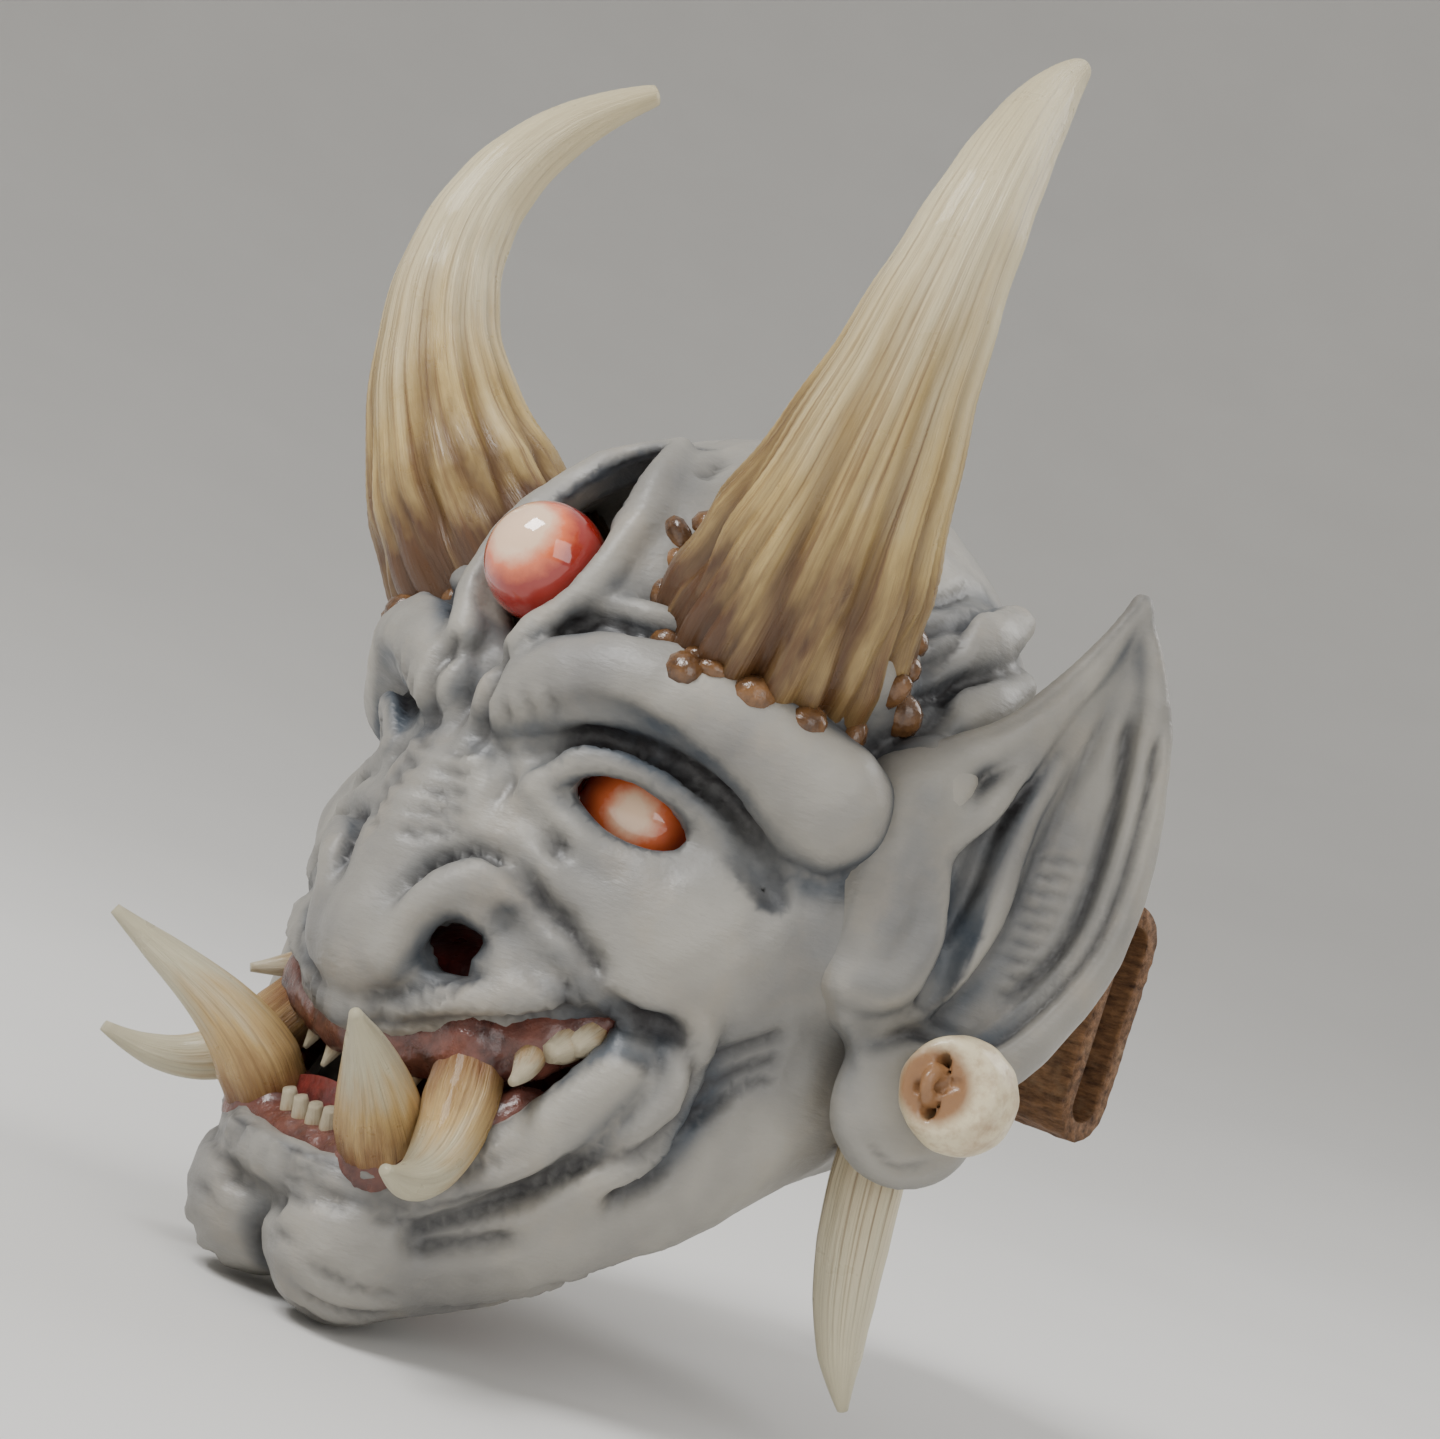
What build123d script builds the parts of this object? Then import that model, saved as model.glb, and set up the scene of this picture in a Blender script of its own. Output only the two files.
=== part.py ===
from build123d import *

# A small cast demon head with horns, a third eye and tusks: a wall mask carried by a strap sleeve on
# its back, with a tusk hanging through each ear lobe.
# Millimetres. +Z runs up through the crown, -Y is the way the face looks, +X is the mask's own left.
# The origin is the middle of the strap sleeve's flat back face.
# The mask's left and right sides are mirror images, so only its left side (+X) is described.

import os
from math import cos, pi, radians, sin, sqrt

os.makedirs("parts", exist_ok=True)

# ---- fits ------------------------------------------------------------------------------------------
GLUE_GAP = 0.1            # room left all round a glued piece
SHANK_CLEARANCE = 0.08    # radial running clearance of an ear tusk's shank in its lobe
SIDE_PLAY = 0.35          # room between a swinging tusk and the lobe it hangs on

# ---- strap sleeve ----------------------------------------------------------------------------------
SLEEVE_LENGTH = 62.0      # along X
SLEEVE_DEPTH = 11.0       # along Y, front wall to back face
SLEEVE_HEIGHT = 31.5      # along Z
SLEEVE_WALL = 2.8
SLEEVE_CORNER = 5.3       # outer corner radius
SEAM_NOTCH = 2.4          # depth of the V cut where the sleeve's sheet laps on itself
SLEEVE_PIN_RADIUS = 2.0
SLEEVE_PIN_SPACING = 18.0
SLEEVE_PIN_LENGTH = 9.0
SLEEVE_PIN_IN_SLEEVE = 1.8

# ---- head shell ------------------------------------------------------------------------------------
HEAD_HEIGHT = 110.0       # chin to crown
HEAD_DEPTH = 87.0         # muzzle to the back of the skull
HEAD_HALF_WIDTH = 37.0
CHIN_DROP = 56.5          # the chin's foot below the sleeve's middle
BACK_STANDOFF = 4.0       # skull to sleeve, filled by the back pad
WALL = 3.0
SEAT_DEPTH = 1.6          # how far horns and ears sink into the shell
BACK_PAD_WIDTH = 36.0
BACK_PAD_HEIGHT = 16.0
BACK_PAD_BLEND = 5.0
NECK_SLOPE = 27.5         # degrees, the neck opening's plane rises towards the back
NECK_BACK_DROP = 11.0     # the neck rim below the sleeve's middle, at the skull's back
NECK_REACH = 64.4         # how far forward of the skull's back the neck is open
SECTION_POINTS = 12

# Level sections of the skull, chin first: height, front, back and half width, as parts of the head's
# height, depth (0 is the muzzle, 1 the back) and half width.
HEAD_PROFILE = (
    (0.00, 0.05, 0.17, 0.27),
    (0.06, 0.01, 0.32, 0.46),
    (0.17, 0.03, 0.55, 0.67),
    (0.30, 0.06, 0.82, 0.84),
    (0.44, 0.09, 0.96, 0.96),
    (0.59, 0.08, 1.00, 1.00),
    (0.71, 0.11, 0.98, 0.95),
    (0.82, 0.19, 0.91, 0.81),
    (0.91, 0.29, 0.81, 0.60),
    (0.97, 0.41, 0.71, 0.34),
    (1.00, 0.51, 0.62, 0.13),
)

# ---- horns -----------------------------------------------------------------------------------------
HORN_HEIGHT = 64.4        # root to tip
HORN_RADII = (13.0, 7.6, 4.4, 1.0)
HORN_AT = (0.63, 0.773)   # root on the head: part of the half width, part of the height
HORN_LIFT = 2.5           # the root's middle stands out of the skin
HORN_SINK = 9.0           # the root runs on into the skin before it is cut to the skull's shape
HORN_BEND = ((0.25, -0.19, 0.30), (0.30, -0.26, 0.68), (0.12, 0.07, 1.0))
HORN_DOWEL_RADIUS = 2.0
HORN_DOWEL_LENGTH = 20.0
HORN_BOSS_RADIUS = 6.0
HORN_BOSS_DEPTH = 12.0

# ---- eyes ------------------------------------------------------------------------------------------
EYE_RADIUS = 8.0
EYE_AT = (0.54, 0.53)
LID_THICKNESS = 1.3
EYE_OPENING = (12.0, 4.6)         # width and height of the almond between the lids
EYE_TILT = 14.0                   # degrees, the outer corner is lower
THIRD_EYE_RADIUS = 7.5
THIRD_EYE_HEIGHT = 0.736
THIRD_EYE_PROUD = 2.4
THIRD_SLIT = (18.0, 8.0)          # half height and radius of the almond recess round the third eye
THIRD_SLIT_SINK = 3.6             # the recess's middle behind the skin

# ---- face relief -----------------------------------------------------------------------------------
BROW_AT = ((0.19, 0.605), (0.50, 0.645), (0.76, 0.625), (0.93, 0.59))
BROW_RADII = (5.0, 6.4, 7.4, 7.8)
BROW_LIFT = -2.0
NOSE_AT = ((0.0, 0.545), (0.0, 0.34))
NOSE_RADII = (4.6, 8.6)
NOSE_SINK = 0.6                   # the bridge's middle behind the skin, in radii
WING_AT = (0.245, 0.385)
WING_RADIUS = 5.6
WING_LIFT = 0.8                   # the wing's middle stands out of the skin
NOSTRIL_RADIUS = 2.6
NOSTRIL_DEPTH = 6.0
NOSTRIL_FROM_WING = (-2.5, 0.0, -4.0)
NOSTRIL_HEADING = (0.1, 0.35, 1.0)
CHEEK_AT = (0.70, 0.40)
CHEEK_RADIUS = 10.0
CHEEK_SINK = 6.0
CHIN_LOBE_SPREAD = 7.5
CHIN_LOBE_RADIUS = 9.0
CHIN_LOBE_AT = (0.09, 0.075)      # part of the depth behind the muzzle, part of the height
LIP_RADIUS = 4.4
LIP_END_RADIUS = 3.5
LIP_MIDDLE = (0.0, 0.125)
LIP_END = (0.50, 0.145)
LIP_SINK = 1.8

# ---- mouth -----------------------------------------------------------------------------------------
MOUTH_TOP = ((0.0, 0.250), (0.38, 0.285), (0.72, 0.370))
MOUTH_LOW = ((0.0, 0.150), (0.35, 0.162), (0.74, 0.330))
MOUTH_CUT = 34.0                  # how far the opening is cut back from the muzzle
LINING_WALL = 1.6
LINING_SIZE = (28.0, 16.5)        # half width and radius
LINING_HEIGHT = 0.235
LINING_BACK = 0.235               # middle of the lining, part of the depth behind the muzzle
TONGUE_SIZE = (2.6, 8.6)          # half thickness and radius
TONGUE_RISE = 0.3                 # tongue above the lining's floor
TONGUE_FORWARD = 2.0
TONGUE_EDGE = 2.0                 # radius of its rounded edge
GUM_RADIUS = 3.2
UPPER_GUM_ENDS = (0.66, 0.345)
UPPER_GUM_MIDDLE = 0.258
LOWER_GUM_ENDS = (0.56, 0.235)
LOWER_GUM_MIDDLE = 0.134
GUM_SINK = 3.0                    # gum line behind the skin

# A tooth's root is on a gum line, at a part of the way from the middle to its end. Its bend points are
# measured from the root.
TOOTH_SINK = 0.4                  # a tooth's root runs on behind the gum line, in its own radii
PEG_IN_GUM = 1.3                  # a small straight tooth starts this far from the gum line
PEG_TIP = 0.35                    # its tip's radius, in its root's
TUSK_LOWER_ON_GUM = 0.42
TUSK_LOWER_RADII = (4.4, 3.7, 2.6, 0.8)
TUSK_LOWER_BEND = ((0.0, -5.5, 8.5), (5.5, -11.0, 10.0), (11.0, -19.5, 14.5))
TUSK_UPPER_ON_GUM = 0.48
TUSK_UPPER_RADII = (3.7, 3.0, 2.2, 0.8)
TUSK_UPPER_BEND = ((4.5, -2.2, -10.0), (7.5, -6.5, -15.0), (12.0, -16.5, -11.8))
CANINE_ON_GUM = 0.70
CANINE_RADII = (1.9, 1.6, 1.2, 0.6)
CANINE_BEND = ((1.6, -1.4, -1.5), (3.4, -3.0, -2.8), (5.0, -6.0, -4.0))
SPIKE_ON_GUM = (0.12, 0.30)
SPIKE_RADIUS = 1.4
SPIKE_LENGTH = 5.0
INCISOR_ON_GUM = (0.04, 0.13)
INCISOR_RADIUS = 1.0
INCISOR_LENGTH = 5.5
MOLAR_ON_GUM = (0.86, 0.94)
MOLAR_RADIUS = 2.0
MOLAR_LENGTH = 4.6

# ---- ears ------------------------------------------------------------------------------------------
EAR_YAW = 30.0                    # degrees, the ear's face turned forward from the side
EAR_ROOT = (1.06, 0.40)           # part of the half width, part of the depth behind the muzzle
EAR_HEIGHT = 52.0                 # root foot to tip
EAR_REACH = 26.0                  # root to the rear rim
EAR_THICKNESS = 6.0
EAR_RIM = 3.4                     # width of the raised rim round the hollow
EAR_HOLLOW = 3.6                  # depth of the hollow
EAR_HOLLOW_AT = (0.55, 0.42)      # the hollow's middle, part of the reach and of the height
EAR_FOOT = -10.0                  # the root's foot, measured from the sleeve's middle
EAR_FRONT_RIM = ((-0.12, 0.50), (0.24, 0.60), (0.46, 0.78), (0.62, 1.00))
EAR_REAR_RIM = ((0.62, 1.00), (0.86, 0.78), (0.97, 0.50), (0.95, 0.27), (0.70, 0.05), (0.40, -0.06))
EAR_ROOT_RADIUS = 6.5
EAR_ROOT_RISE = (5.0, 22.0)       # the thick root's two ends, above the foot
EAR_ROOT_OFF = -2.0               # the thick root's middle, behind the ear's own middle
EAR_PIN_RADIUS = 1.5
EAR_PIN_LENGTH = 10.0
EAR_PIN_HEIGHTS = (6.0, 19.0)     # above the foot
EAR_PIN_BOSS = 4.0
LOBE_RADIUS = 9.0
LOBE_THICKNESS = 7.0
LOBE_EDGE = 2.1                   # radius of its rounded edges
LOBE_AT = (8.6, -17.0)            # from the ear's root: outward along the ear, and up

# ---- ear tusks -------------------------------------------------------------------------------------
SHANK_RADIUS = 3.2
BORE_AT = (9.7, -14.0)            # from the ear's root: outward along the ear, and up
ROOT_KNOB_RADIUS = 7.0
ROOT_KNOB_THICKNESS = 7.0
ROOT_KNOB_EDGE = 3.8              # radius of its rounded outer edge
ROOT_KNOB_SOCKET = 4.0            # how far the shank runs into the knob
PULP_SLIT = (4.4, 1.2)            # length and width of the cut in the knob's face
PULP_DEPTH = 1.2
ELBOW_RADIUS = 3.4
EAR_TUSK_RADII = (3.4, 4.0, 3.6, 0.9)
EAR_TUSK_LENGTH = 35.5
EAR_TUSK_BEND = ((0.02, 0.34), (0.04, 0.72), (0.19, 1.00))
EAR_TUSK_LEAN = 1.0               # the fat part stands this much further from the lobe


# ---- reading the head's shape ----------------------------------------------------------------------
HEAD_BACK = -(SLEEVE_DEPTH + BACK_STANDOFF)


def level(part):
    """Z at a part of the head's height."""
    return -CHIN_DROP + HEAD_HEIGHT * part


def behind_muzzle(part):
    """Y at a part of the head's depth."""
    return HEAD_BACK - HEAD_DEPTH * (1 - part)


def section_at(part):
    """Front, back and half width of the skull at a part of its height."""
    rows = [row for row in HEAD_PROFILE if row[0] <= part]
    low = rows[-1]
    high = HEAD_PROFILE[min(len(rows), len(HEAD_PROFILE) - 1)]
    span = high[0] - low[0]
    share = (part - low[0]) / span if span else 0.0
    front, back, width = (a + (b - a) * share for a, b in zip(low[1:], high[1:]))
    return behind_muzzle(front), behind_muzzle(back), HEAD_HALF_WIDTH * width


def skin(across, up, lift=0.0):
    """The point on the face at a part of the half width and of the height, lifted off the skin."""
    front, back, half_width = section_at(up)
    middle = (front + back) / 2
    reach = (back - front) / 2
    x = HEAD_HALF_WIDTH * across
    share = min(abs(x) / half_width, 0.98)
    y = middle - reach * sqrt(1 - share**2)
    normal = Vector(x / half_width**2, (y - middle) / reach**2, 0).normalized()
    return Vector(x, y, level(up)) + normal * lift


def head_form(inset):
    """The plain skull, with every side moved in."""
    squeeze = (HEAD_HEIGHT - 2 * inset) / HEAD_HEIGHT
    middle_z = level(0.5)
    sections = []
    for up, _, _, _ in HEAD_PROFILE:
        front, back, half_width = section_at(up)
        reach = (back - front) / 2 - inset
        width = half_width - inset
        points = []
        for k in range(SECTION_POINTS):
            turn = 2 * pi * k / SECTION_POINTS
            points.append((max(width, 1.0) * cos(turn), max(reach, 1.0) * sin(turn)))
        place = Plane(origin=(0, (front + back) / 2, middle_z + (level(up) - middle_z) * squeeze))
        sections.append(place * make_face(Spline(*points, periodic=True)))
    return loft(sections)


# ---- general shapes --------------------------------------------------------------------------------
def spheroid(half_length, radius, place):
    """A ball stretched along the place's X, turned round that axis."""
    arc = EllipticalCenterArc((0, 0), half_length, radius, start_angle=0, arc_size=180)
    half = make_face([arc, Line((-half_length, 0), (half_length, 0))])
    return place * revolve(half, Axis.X, 360)


def round_cone(start, start_radius, end, end_radius):
    """Two balls joined by a taper."""
    start = Vector(*start)
    end = Vector(*end)
    length = (end - start).length
    place = Plane(origin=start, z_dir=end - start)
    low = (Align.CENTER, Align.CENTER, Align.MIN)
    if abs(start_radius - end_radius) < 0.01:
        taper = place * Cylinder(start_radius, length, align=low)
    else:
        taper = place * Cone(start_radius, end_radius, length, align=low)
    return taper + Pos(*start) * Sphere(start_radius) + Pos(*end) * Sphere(end_radius)


def rod(start, direction, radius, length):
    """A round bar from a point."""
    low = (Align.CENTER, Align.CENTER, Align.MIN)
    return Plane(origin=start, z_dir=direction) * Cylinder(radius, length, align=low)


def bezier(points, t):
    """The point at t on a curve with four control points."""
    a, b, c, d = points
    s = 1 - t
    return a * s**3 + b * (3 * s * s * t) + c * (3 * s * t * t) + d * t**3


def bezier_heading(points, t):
    """The curve's direction at t."""
    a, b, c, d = points
    s = 1 - t
    return ((b - a) * (s * s) + (c - b) * (2 * s * t) + (d - c) * (t * t)).normalized()


def taper_radius(radii, t):
    """The radius at t, from four radii spaced evenly along the curve."""
    place = min(t, 0.9999) * (len(radii) - 1)
    step = int(place)
    return radii[step] + (radii[step + 1] - radii[step]) * (place - step)


def tusk(points, radii, sink=0.0, grow=0.0, stations=9):
    """A tapering curved tooth or horn, its root run on backwards by sink, its skin grown."""
    sections = []
    heading = bezier_heading(points, 0.0)
    side = Vector(0, 1, 0.2).cross(heading).normalized()
    if sink:
        origin = points[0] - heading * sink
        sections.append(Plane(origin=origin, x_dir=side, z_dir=heading) * Circle(radii[0] + grow))
    for k in range(stations):
        t = k / (stations - 1)
        heading = bezier_heading(points, t)
        across = (side - heading * side.dot(heading)).normalized()
        place = Plane(origin=bezier(points, t), x_dir=across, z_dir=heading)
        sections.append(place * Circle(taper_radius(radii, t) + grow))
    return loft(sections)


def offsets(root, bend):
    """Four control points from a root and three offsets."""
    return [root] + [root + Vector(*step) for step in bend]


def other_side(shape):
    """The mirror image on the mask's right."""
    return mirror(shape, about=Plane.YZ)


def both_sides(shape):
    """The shape and its mirror image."""
    return shape + other_side(shape)


# ---- horns -----------------------------------------------------------------------------------------
horn_root = skin(*HORN_AT, lift=HORN_LIFT)
horn_curve = offsets(horn_root, [[HORN_HEIGHT * part for part in step] for step in HORN_BEND])
horn_heading = bezier_heading(horn_curve, 0.0)
horn_seat = head_form(SEAT_DEPTH)
horn_dowel_start = horn_root - horn_heading * (HORN_DOWEL_LENGTH / 2)
horn_dowel = rod(horn_dowel_start, horn_heading, HORN_DOWEL_RADIUS, HORN_DOWEL_LENGTH)
horn_dowel_hole = rod(
    horn_dowel_start - horn_heading * GLUE_GAP,
    horn_heading,
    HORN_DOWEL_RADIUS + GLUE_GAP,
    HORN_DOWEL_LENGTH + 2 * GLUE_GAP,
)
horn = tusk(horn_curve, HORN_RADII, sink=HORN_SINK) - horn_seat - horn_dowel_hole
horn_socket = tusk(horn_curve, HORN_RADII, sink=HORN_SINK, grow=GLUE_GAP) - horn_seat
horn_boss = rod(horn_root, horn_heading * -1, HORN_BOSS_RADIUS, HORN_BOSS_DEPTH + HORN_LIFT)

# ---- ear, in its own plane: X outward along the ear, Y up, Z out of its face ---------------------------
ear_out = Vector(sin(radians(EAR_YAW)), cos(radians(EAR_YAW)), 0)
ear_face = Vector(cos(radians(EAR_YAW)), -sin(radians(EAR_YAW)), 0)
ear_origin = Vector(HEAD_HALF_WIDTH * EAR_ROOT[0], behind_muzzle(EAR_ROOT[1]), 0)
ear_plane = Plane(origin=ear_origin, x_dir=ear_out, z_dir=ear_face)


def ear_point(out, up, off=0.0):
    """A point in the ear's own plane, as a point of the mask."""
    return ear_origin + ear_out * out + Vector(0, 0, up) + ear_face * off


def ear_leaf():
    """The pointed outline of the ear."""
    front = [(EAR_REACH * a, EAR_FOOT + EAR_HEIGHT * b) for a, b in EAR_FRONT_RIM]
    rear = [(EAR_REACH * a, EAR_FOOT + EAR_HEIGHT * b) for a, b in EAR_REAR_RIM]
    closing = Polyline(rear[-1], (front[0][0], EAR_FOOT), front[0])
    return make_face([Spline(*front), Spline(*rear), closing])


leaf = ear_leaf()
ear_plate = Pos(0, 0, -EAR_THICKNESS / 2) * extrude(leaf, EAR_THICKNESS, dir=(0, 0, 1))
leaf_middle = (EAR_REACH * EAR_HOLLOW_AT[0], EAR_FOOT + EAR_HEIGHT * EAR_HOLLOW_AT[1])
hollow_share = 1 - 2 * EAR_RIM / EAR_REACH
hollow_leaf = scale(leaf, by=hollow_share, about=(*leaf_middle, 0))
ear_hollow = extrude(hollow_leaf, EAR_HOLLOW, dir=(0, 0, 1))
ear_hollow = Pos(0, 0, EAR_THICKNESS / 2 - EAR_HOLLOW) * ear_hollow
lobe = Pos(*LOBE_AT, -LOBE_THICKNESS / 2) * Cylinder(
    LOBE_RADIUS, LOBE_THICKNESS, align=(Align.CENTER, Align.CENTER, Align.MIN)
)
lobe = fillet(lobe.edges(), LOBE_EDGE)
lobe_bore = Pos(*BORE_AT, 0) * Cylinder(SHANK_RADIUS + SHANK_CLEARANCE, 2 * LOBE_THICKNESS)
ear_root = round_cone(
    ear_point(0, EAR_FOOT + EAR_ROOT_RISE[0], EAR_ROOT_OFF),
    EAR_ROOT_RADIUS,
    ear_point(0, EAR_FOOT + EAR_ROOT_RISE[1], EAR_ROOT_OFF),
    EAR_ROOT_RADIUS,
)
inward = Vector(-1, 0, 0)
ear_pins = []
ear_pin_holes = []
ear_bosses = []
for height in EAR_PIN_HEIGHTS:
    pin_end = ear_point(0, EAR_FOOT + height, EAR_ROOT_OFF) - inward * (EAR_PIN_LENGTH / 4)
    hole_end = pin_end - inward * GLUE_GAP
    ear_pins.append(rod(pin_end, inward, EAR_PIN_RADIUS, EAR_PIN_LENGTH))
    ear_pin_holes.append(rod(hole_end, inward, EAR_PIN_RADIUS + GLUE_GAP, EAR_PIN_LENGTH + 2 * GLUE_GAP))
    ear_bosses.append(rod(pin_end, inward, EAR_PIN_BOSS, EAR_PIN_LENGTH + WALL))
ear = ear_plane * ((ear_plate - ear_hollow) + lobe) + ear_root
ear = ear - ear_plane * lobe_bore - ear_plane * ear_hollow - horn_seat
for hole in ear_pin_holes:
    ear = ear - hole

# ---- ear tusk: a shank through the lobe, an elbow behind it and the tusk hanging from that ------------
elbow_off = -(LOBE_THICKNESS / 2 + SIDE_PLAY + ELBOW_RADIUS)
fat_off = -(LOBE_THICKNESS / 2 + SIDE_PLAY + max(EAR_TUSK_RADII)) - EAR_TUSK_LEAN / 2
knob_off = LOBE_THICKNESS / 2 + SIDE_PLAY
hang_out, hang_up = BORE_AT
ear_tusk_curve = [ear_point(hang_out, hang_up, elbow_off)]
for out, down in EAR_TUSK_BEND:
    place = (hang_out + EAR_TUSK_LENGTH * out, hang_up - EAR_TUSK_LENGTH * down)
    ear_tusk_curve.append(ear_point(*place, fat_off))
shank_start = ear_point(hang_out, hang_up, elbow_off)
shank_length = knob_off + ROOT_KNOB_SOCKET - elbow_off
shank = rod(shank_start, ear_face, SHANK_RADIUS, shank_length)
elbow = Pos(*shank_start) * Sphere(ELBOW_RADIUS)
ear_tusk = tusk(ear_tusk_curve, EAR_TUSK_RADII) + elbow + shank
root_knob = rod(ear_point(hang_out, hang_up, knob_off), ear_face, ROOT_KNOB_RADIUS, ROOT_KNOB_THICKNESS)
knob_rim = root_knob.edges().sort_by(Axis(ear_origin, ear_face))[-1:]
root_knob = fillet(knob_rim, ROOT_KNOB_EDGE)
knob_socket = rod(
    ear_point(hang_out, hang_up, knob_off - GLUE_GAP),
    ear_face,
    SHANK_RADIUS + GLUE_GAP,
    ROOT_KNOB_SOCKET + 2 * GLUE_GAP,
)
slit_middle = ear_point(hang_out, hang_up, knob_off + ROOT_KNOB_THICKNESS)
slit_plane = Plane(origin=slit_middle, x_dir=ear_out, z_dir=ear_face)
pulp_slit = extrude(slit_plane * SlotOverall(*PULP_SLIT), -PULP_DEPTH)
root_knob = root_knob - knob_socket - pulp_slit

# ---- eyes ------------------------------------------------------------------------------------------
eye_surface = skin(*EYE_AT)
eye_middle = skin(*EYE_AT, lift=-(EYE_RADIUS + LID_THICKNESS))
eye_heading = (eye_surface - eye_middle).normalized()
eyeball = Pos(*eye_middle) * Sphere(EYE_RADIUS)
eye_seat = Pos(*eye_middle) * Sphere(EYE_RADIUS + GLUE_GAP)
eye_across = Vector(0, 0, 1).cross(eye_heading).normalized()
eye_plane = Plane(origin=eye_middle, x_dir=eye_across, z_dir=eye_heading).rotated((0, 0, -EYE_TILT))
almond_width, almond_height = EYE_OPENING
almond_arc = [(-almond_width / 2, 0), (0, almond_height / 2), (almond_width / 2, 0)]
almond = make_face([
    ThreePointArc(*almond_arc),
    ThreePointArc(*[(x, -y) for x, y in almond_arc]),
])
eye_opening = extrude(eye_plane * almond, 2 * EYE_RADIUS)
third_surface = skin(0, THIRD_EYE_HEIGHT)
third_middle = third_surface + Vector(0, THIRD_EYE_RADIUS - THIRD_EYE_PROUD, 0)
third_eye = Pos(*third_middle) * Sphere(THIRD_EYE_RADIUS)
third_seat = Pos(*third_middle) * Sphere(THIRD_EYE_RADIUS + GLUE_GAP)
slit_centre = third_surface + Vector(0, THIRD_SLIT_SINK, 0)
third_slit = spheroid(*THIRD_SLIT, Plane(origin=slit_centre, x_dir=(0, 0, 1), z_dir=(1, 0, 0)))
third_cup = Pos(*third_middle) * Sphere(THIRD_EYE_RADIUS + WALL)

# ---- mouth -----------------------------------------------------------------------------------------
def gum_line(ends, middle, share):
    """A point on a gum's arc, from its middle (0) to its left end (1)."""
    arc = gum_arc(ends, middle)
    return arc.position_at(0.5 + share / 2)


def gum_arc(ends, middle):
    """The arc that a gum follows behind the lips."""
    end = skin(*ends, lift=-GUM_SINK)
    return ThreePointArc((-end.X, end.Y, end.Z), skin(0, middle, lift=-GUM_SINK), end)


def gum_bar(ends, middle, grow=0.0):
    """A round gum along its arc, its ends rounded."""
    arc = gum_arc(ends, middle)
    start = Plane(origin=arc.position_at(0), z_dir=arc.tangent_at(0))
    bar = sweep(start * Circle(GUM_RADIUS + grow), path=arc)
    for place in (0, 1):
        bar += Pos(*arc.position_at(place)) * Sphere(GUM_RADIUS + grow)
    return bar


def outline(points):
    """Half an outline's points in the mask's front view, as X and Z."""
    return [(HEAD_HALF_WIDTH * across, level(up)) for across, up in points]


top = outline(MOUTH_TOP)
low = outline(MOUTH_LOW)
top_full = [(-x, z) for x, z in reversed(top[1:])] + top
low_full = [(-x, z) for x, z in reversed(low[1:])] + low
mouth_face = make_face([
    Spline(*top_full),
    Line(top_full[-1], low_full[-1]),
    Spline(*low_full),
    Line(low_full[0], top_full[0]),
])
mouth_front = Plane(origin=(0, behind_muzzle(0) - 2 * WALL, 0), x_dir=(1, 0, 0), z_dir=(0, -1, 0))
mouth_opening = extrude(mouth_front * mouth_face, -(MOUTH_CUT + 2 * WALL))

lining_middle = (0, behind_muzzle(LINING_BACK), level(LINING_HEIGHT))
lining_place = Plane(origin=lining_middle, x_dir=(1, 0, 0), z_dir=(0, 0, 1))
lining_outer = spheroid(*LINING_SIZE, lining_place)
lining_inner = spheroid(*[size - LINING_WALL for size in LINING_SIZE], lining_place)
cavity = head_form(WALL)
lining_room = head_form(WALL + GLUE_GAP)
tongue_middle = (
    0,
    lining_middle[1] - TONGUE_FORWARD,
    lining_middle[2] - LINING_SIZE[1] + LINING_WALL + TONGUE_SIZE[0] + TONGUE_RISE,
)

upper_gum = gum_bar(UPPER_GUM_ENDS, UPPER_GUM_MIDDLE)
upper_groove = gum_bar(UPPER_GUM_ENDS, UPPER_GUM_MIDDLE, GLUE_GAP)
lower_gum = gum_bar(LOWER_GUM_ENDS, LOWER_GUM_MIDDLE)
lower_groove = gum_bar(LOWER_GUM_ENDS, LOWER_GUM_MIDDLE, GLUE_GAP)


def gum_tooth(ends, middle, share, bend, radii, grow=0.0):
    """A curved tooth rooted in a gum."""
    root = gum_line(ends, middle, share)
    return tusk(offsets(root, bend), radii, sink=TOOTH_SINK * radii[0], grow=grow)


def peg(ends, middle, share, radius, length, downward, grow=0.0):
    """A small straight pointed tooth, on the left."""
    root = gum_line(ends, middle, share)
    heading = Vector(0, 0, -1 if downward else 1)
    low_end = (Align.CENTER, Align.CENTER, Align.MIN)
    place = Plane(origin=root + heading * PEG_IN_GUM, z_dir=heading)
    return place * Cone(radius + grow, PEG_TIP * radius + grow, length, align=low_end)


upper = (UPPER_GUM_ENDS, UPPER_GUM_MIDDLE)
lower = (LOWER_GUM_ENDS, LOWER_GUM_MIDDLE)
teeth = {
    "lower_left_tusk": lambda grow: gum_tooth(
        *lower, TUSK_LOWER_ON_GUM, TUSK_LOWER_BEND, TUSK_LOWER_RADII, grow
    ),
    "upper_left_tusk": lambda grow: gum_tooth(
        *upper, TUSK_UPPER_ON_GUM, TUSK_UPPER_BEND, TUSK_UPPER_RADII, grow
    ),
    "left_canine": lambda grow: gum_tooth(*upper, CANINE_ON_GUM, CANINE_BEND, CANINE_RADII, grow),
}
left_teeth = {name: make(0.0) for name, make in teeth.items()}
tooth_sockets = [make(GLUE_GAP) for make in teeth.values()]


def peg_row(gum, shares, radius, length, downward, grow=0.0):
    """Small teeth on the left, one solid each."""
    return [peg(*gum, share, radius, length, downward, grow) for share in shares]


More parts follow.
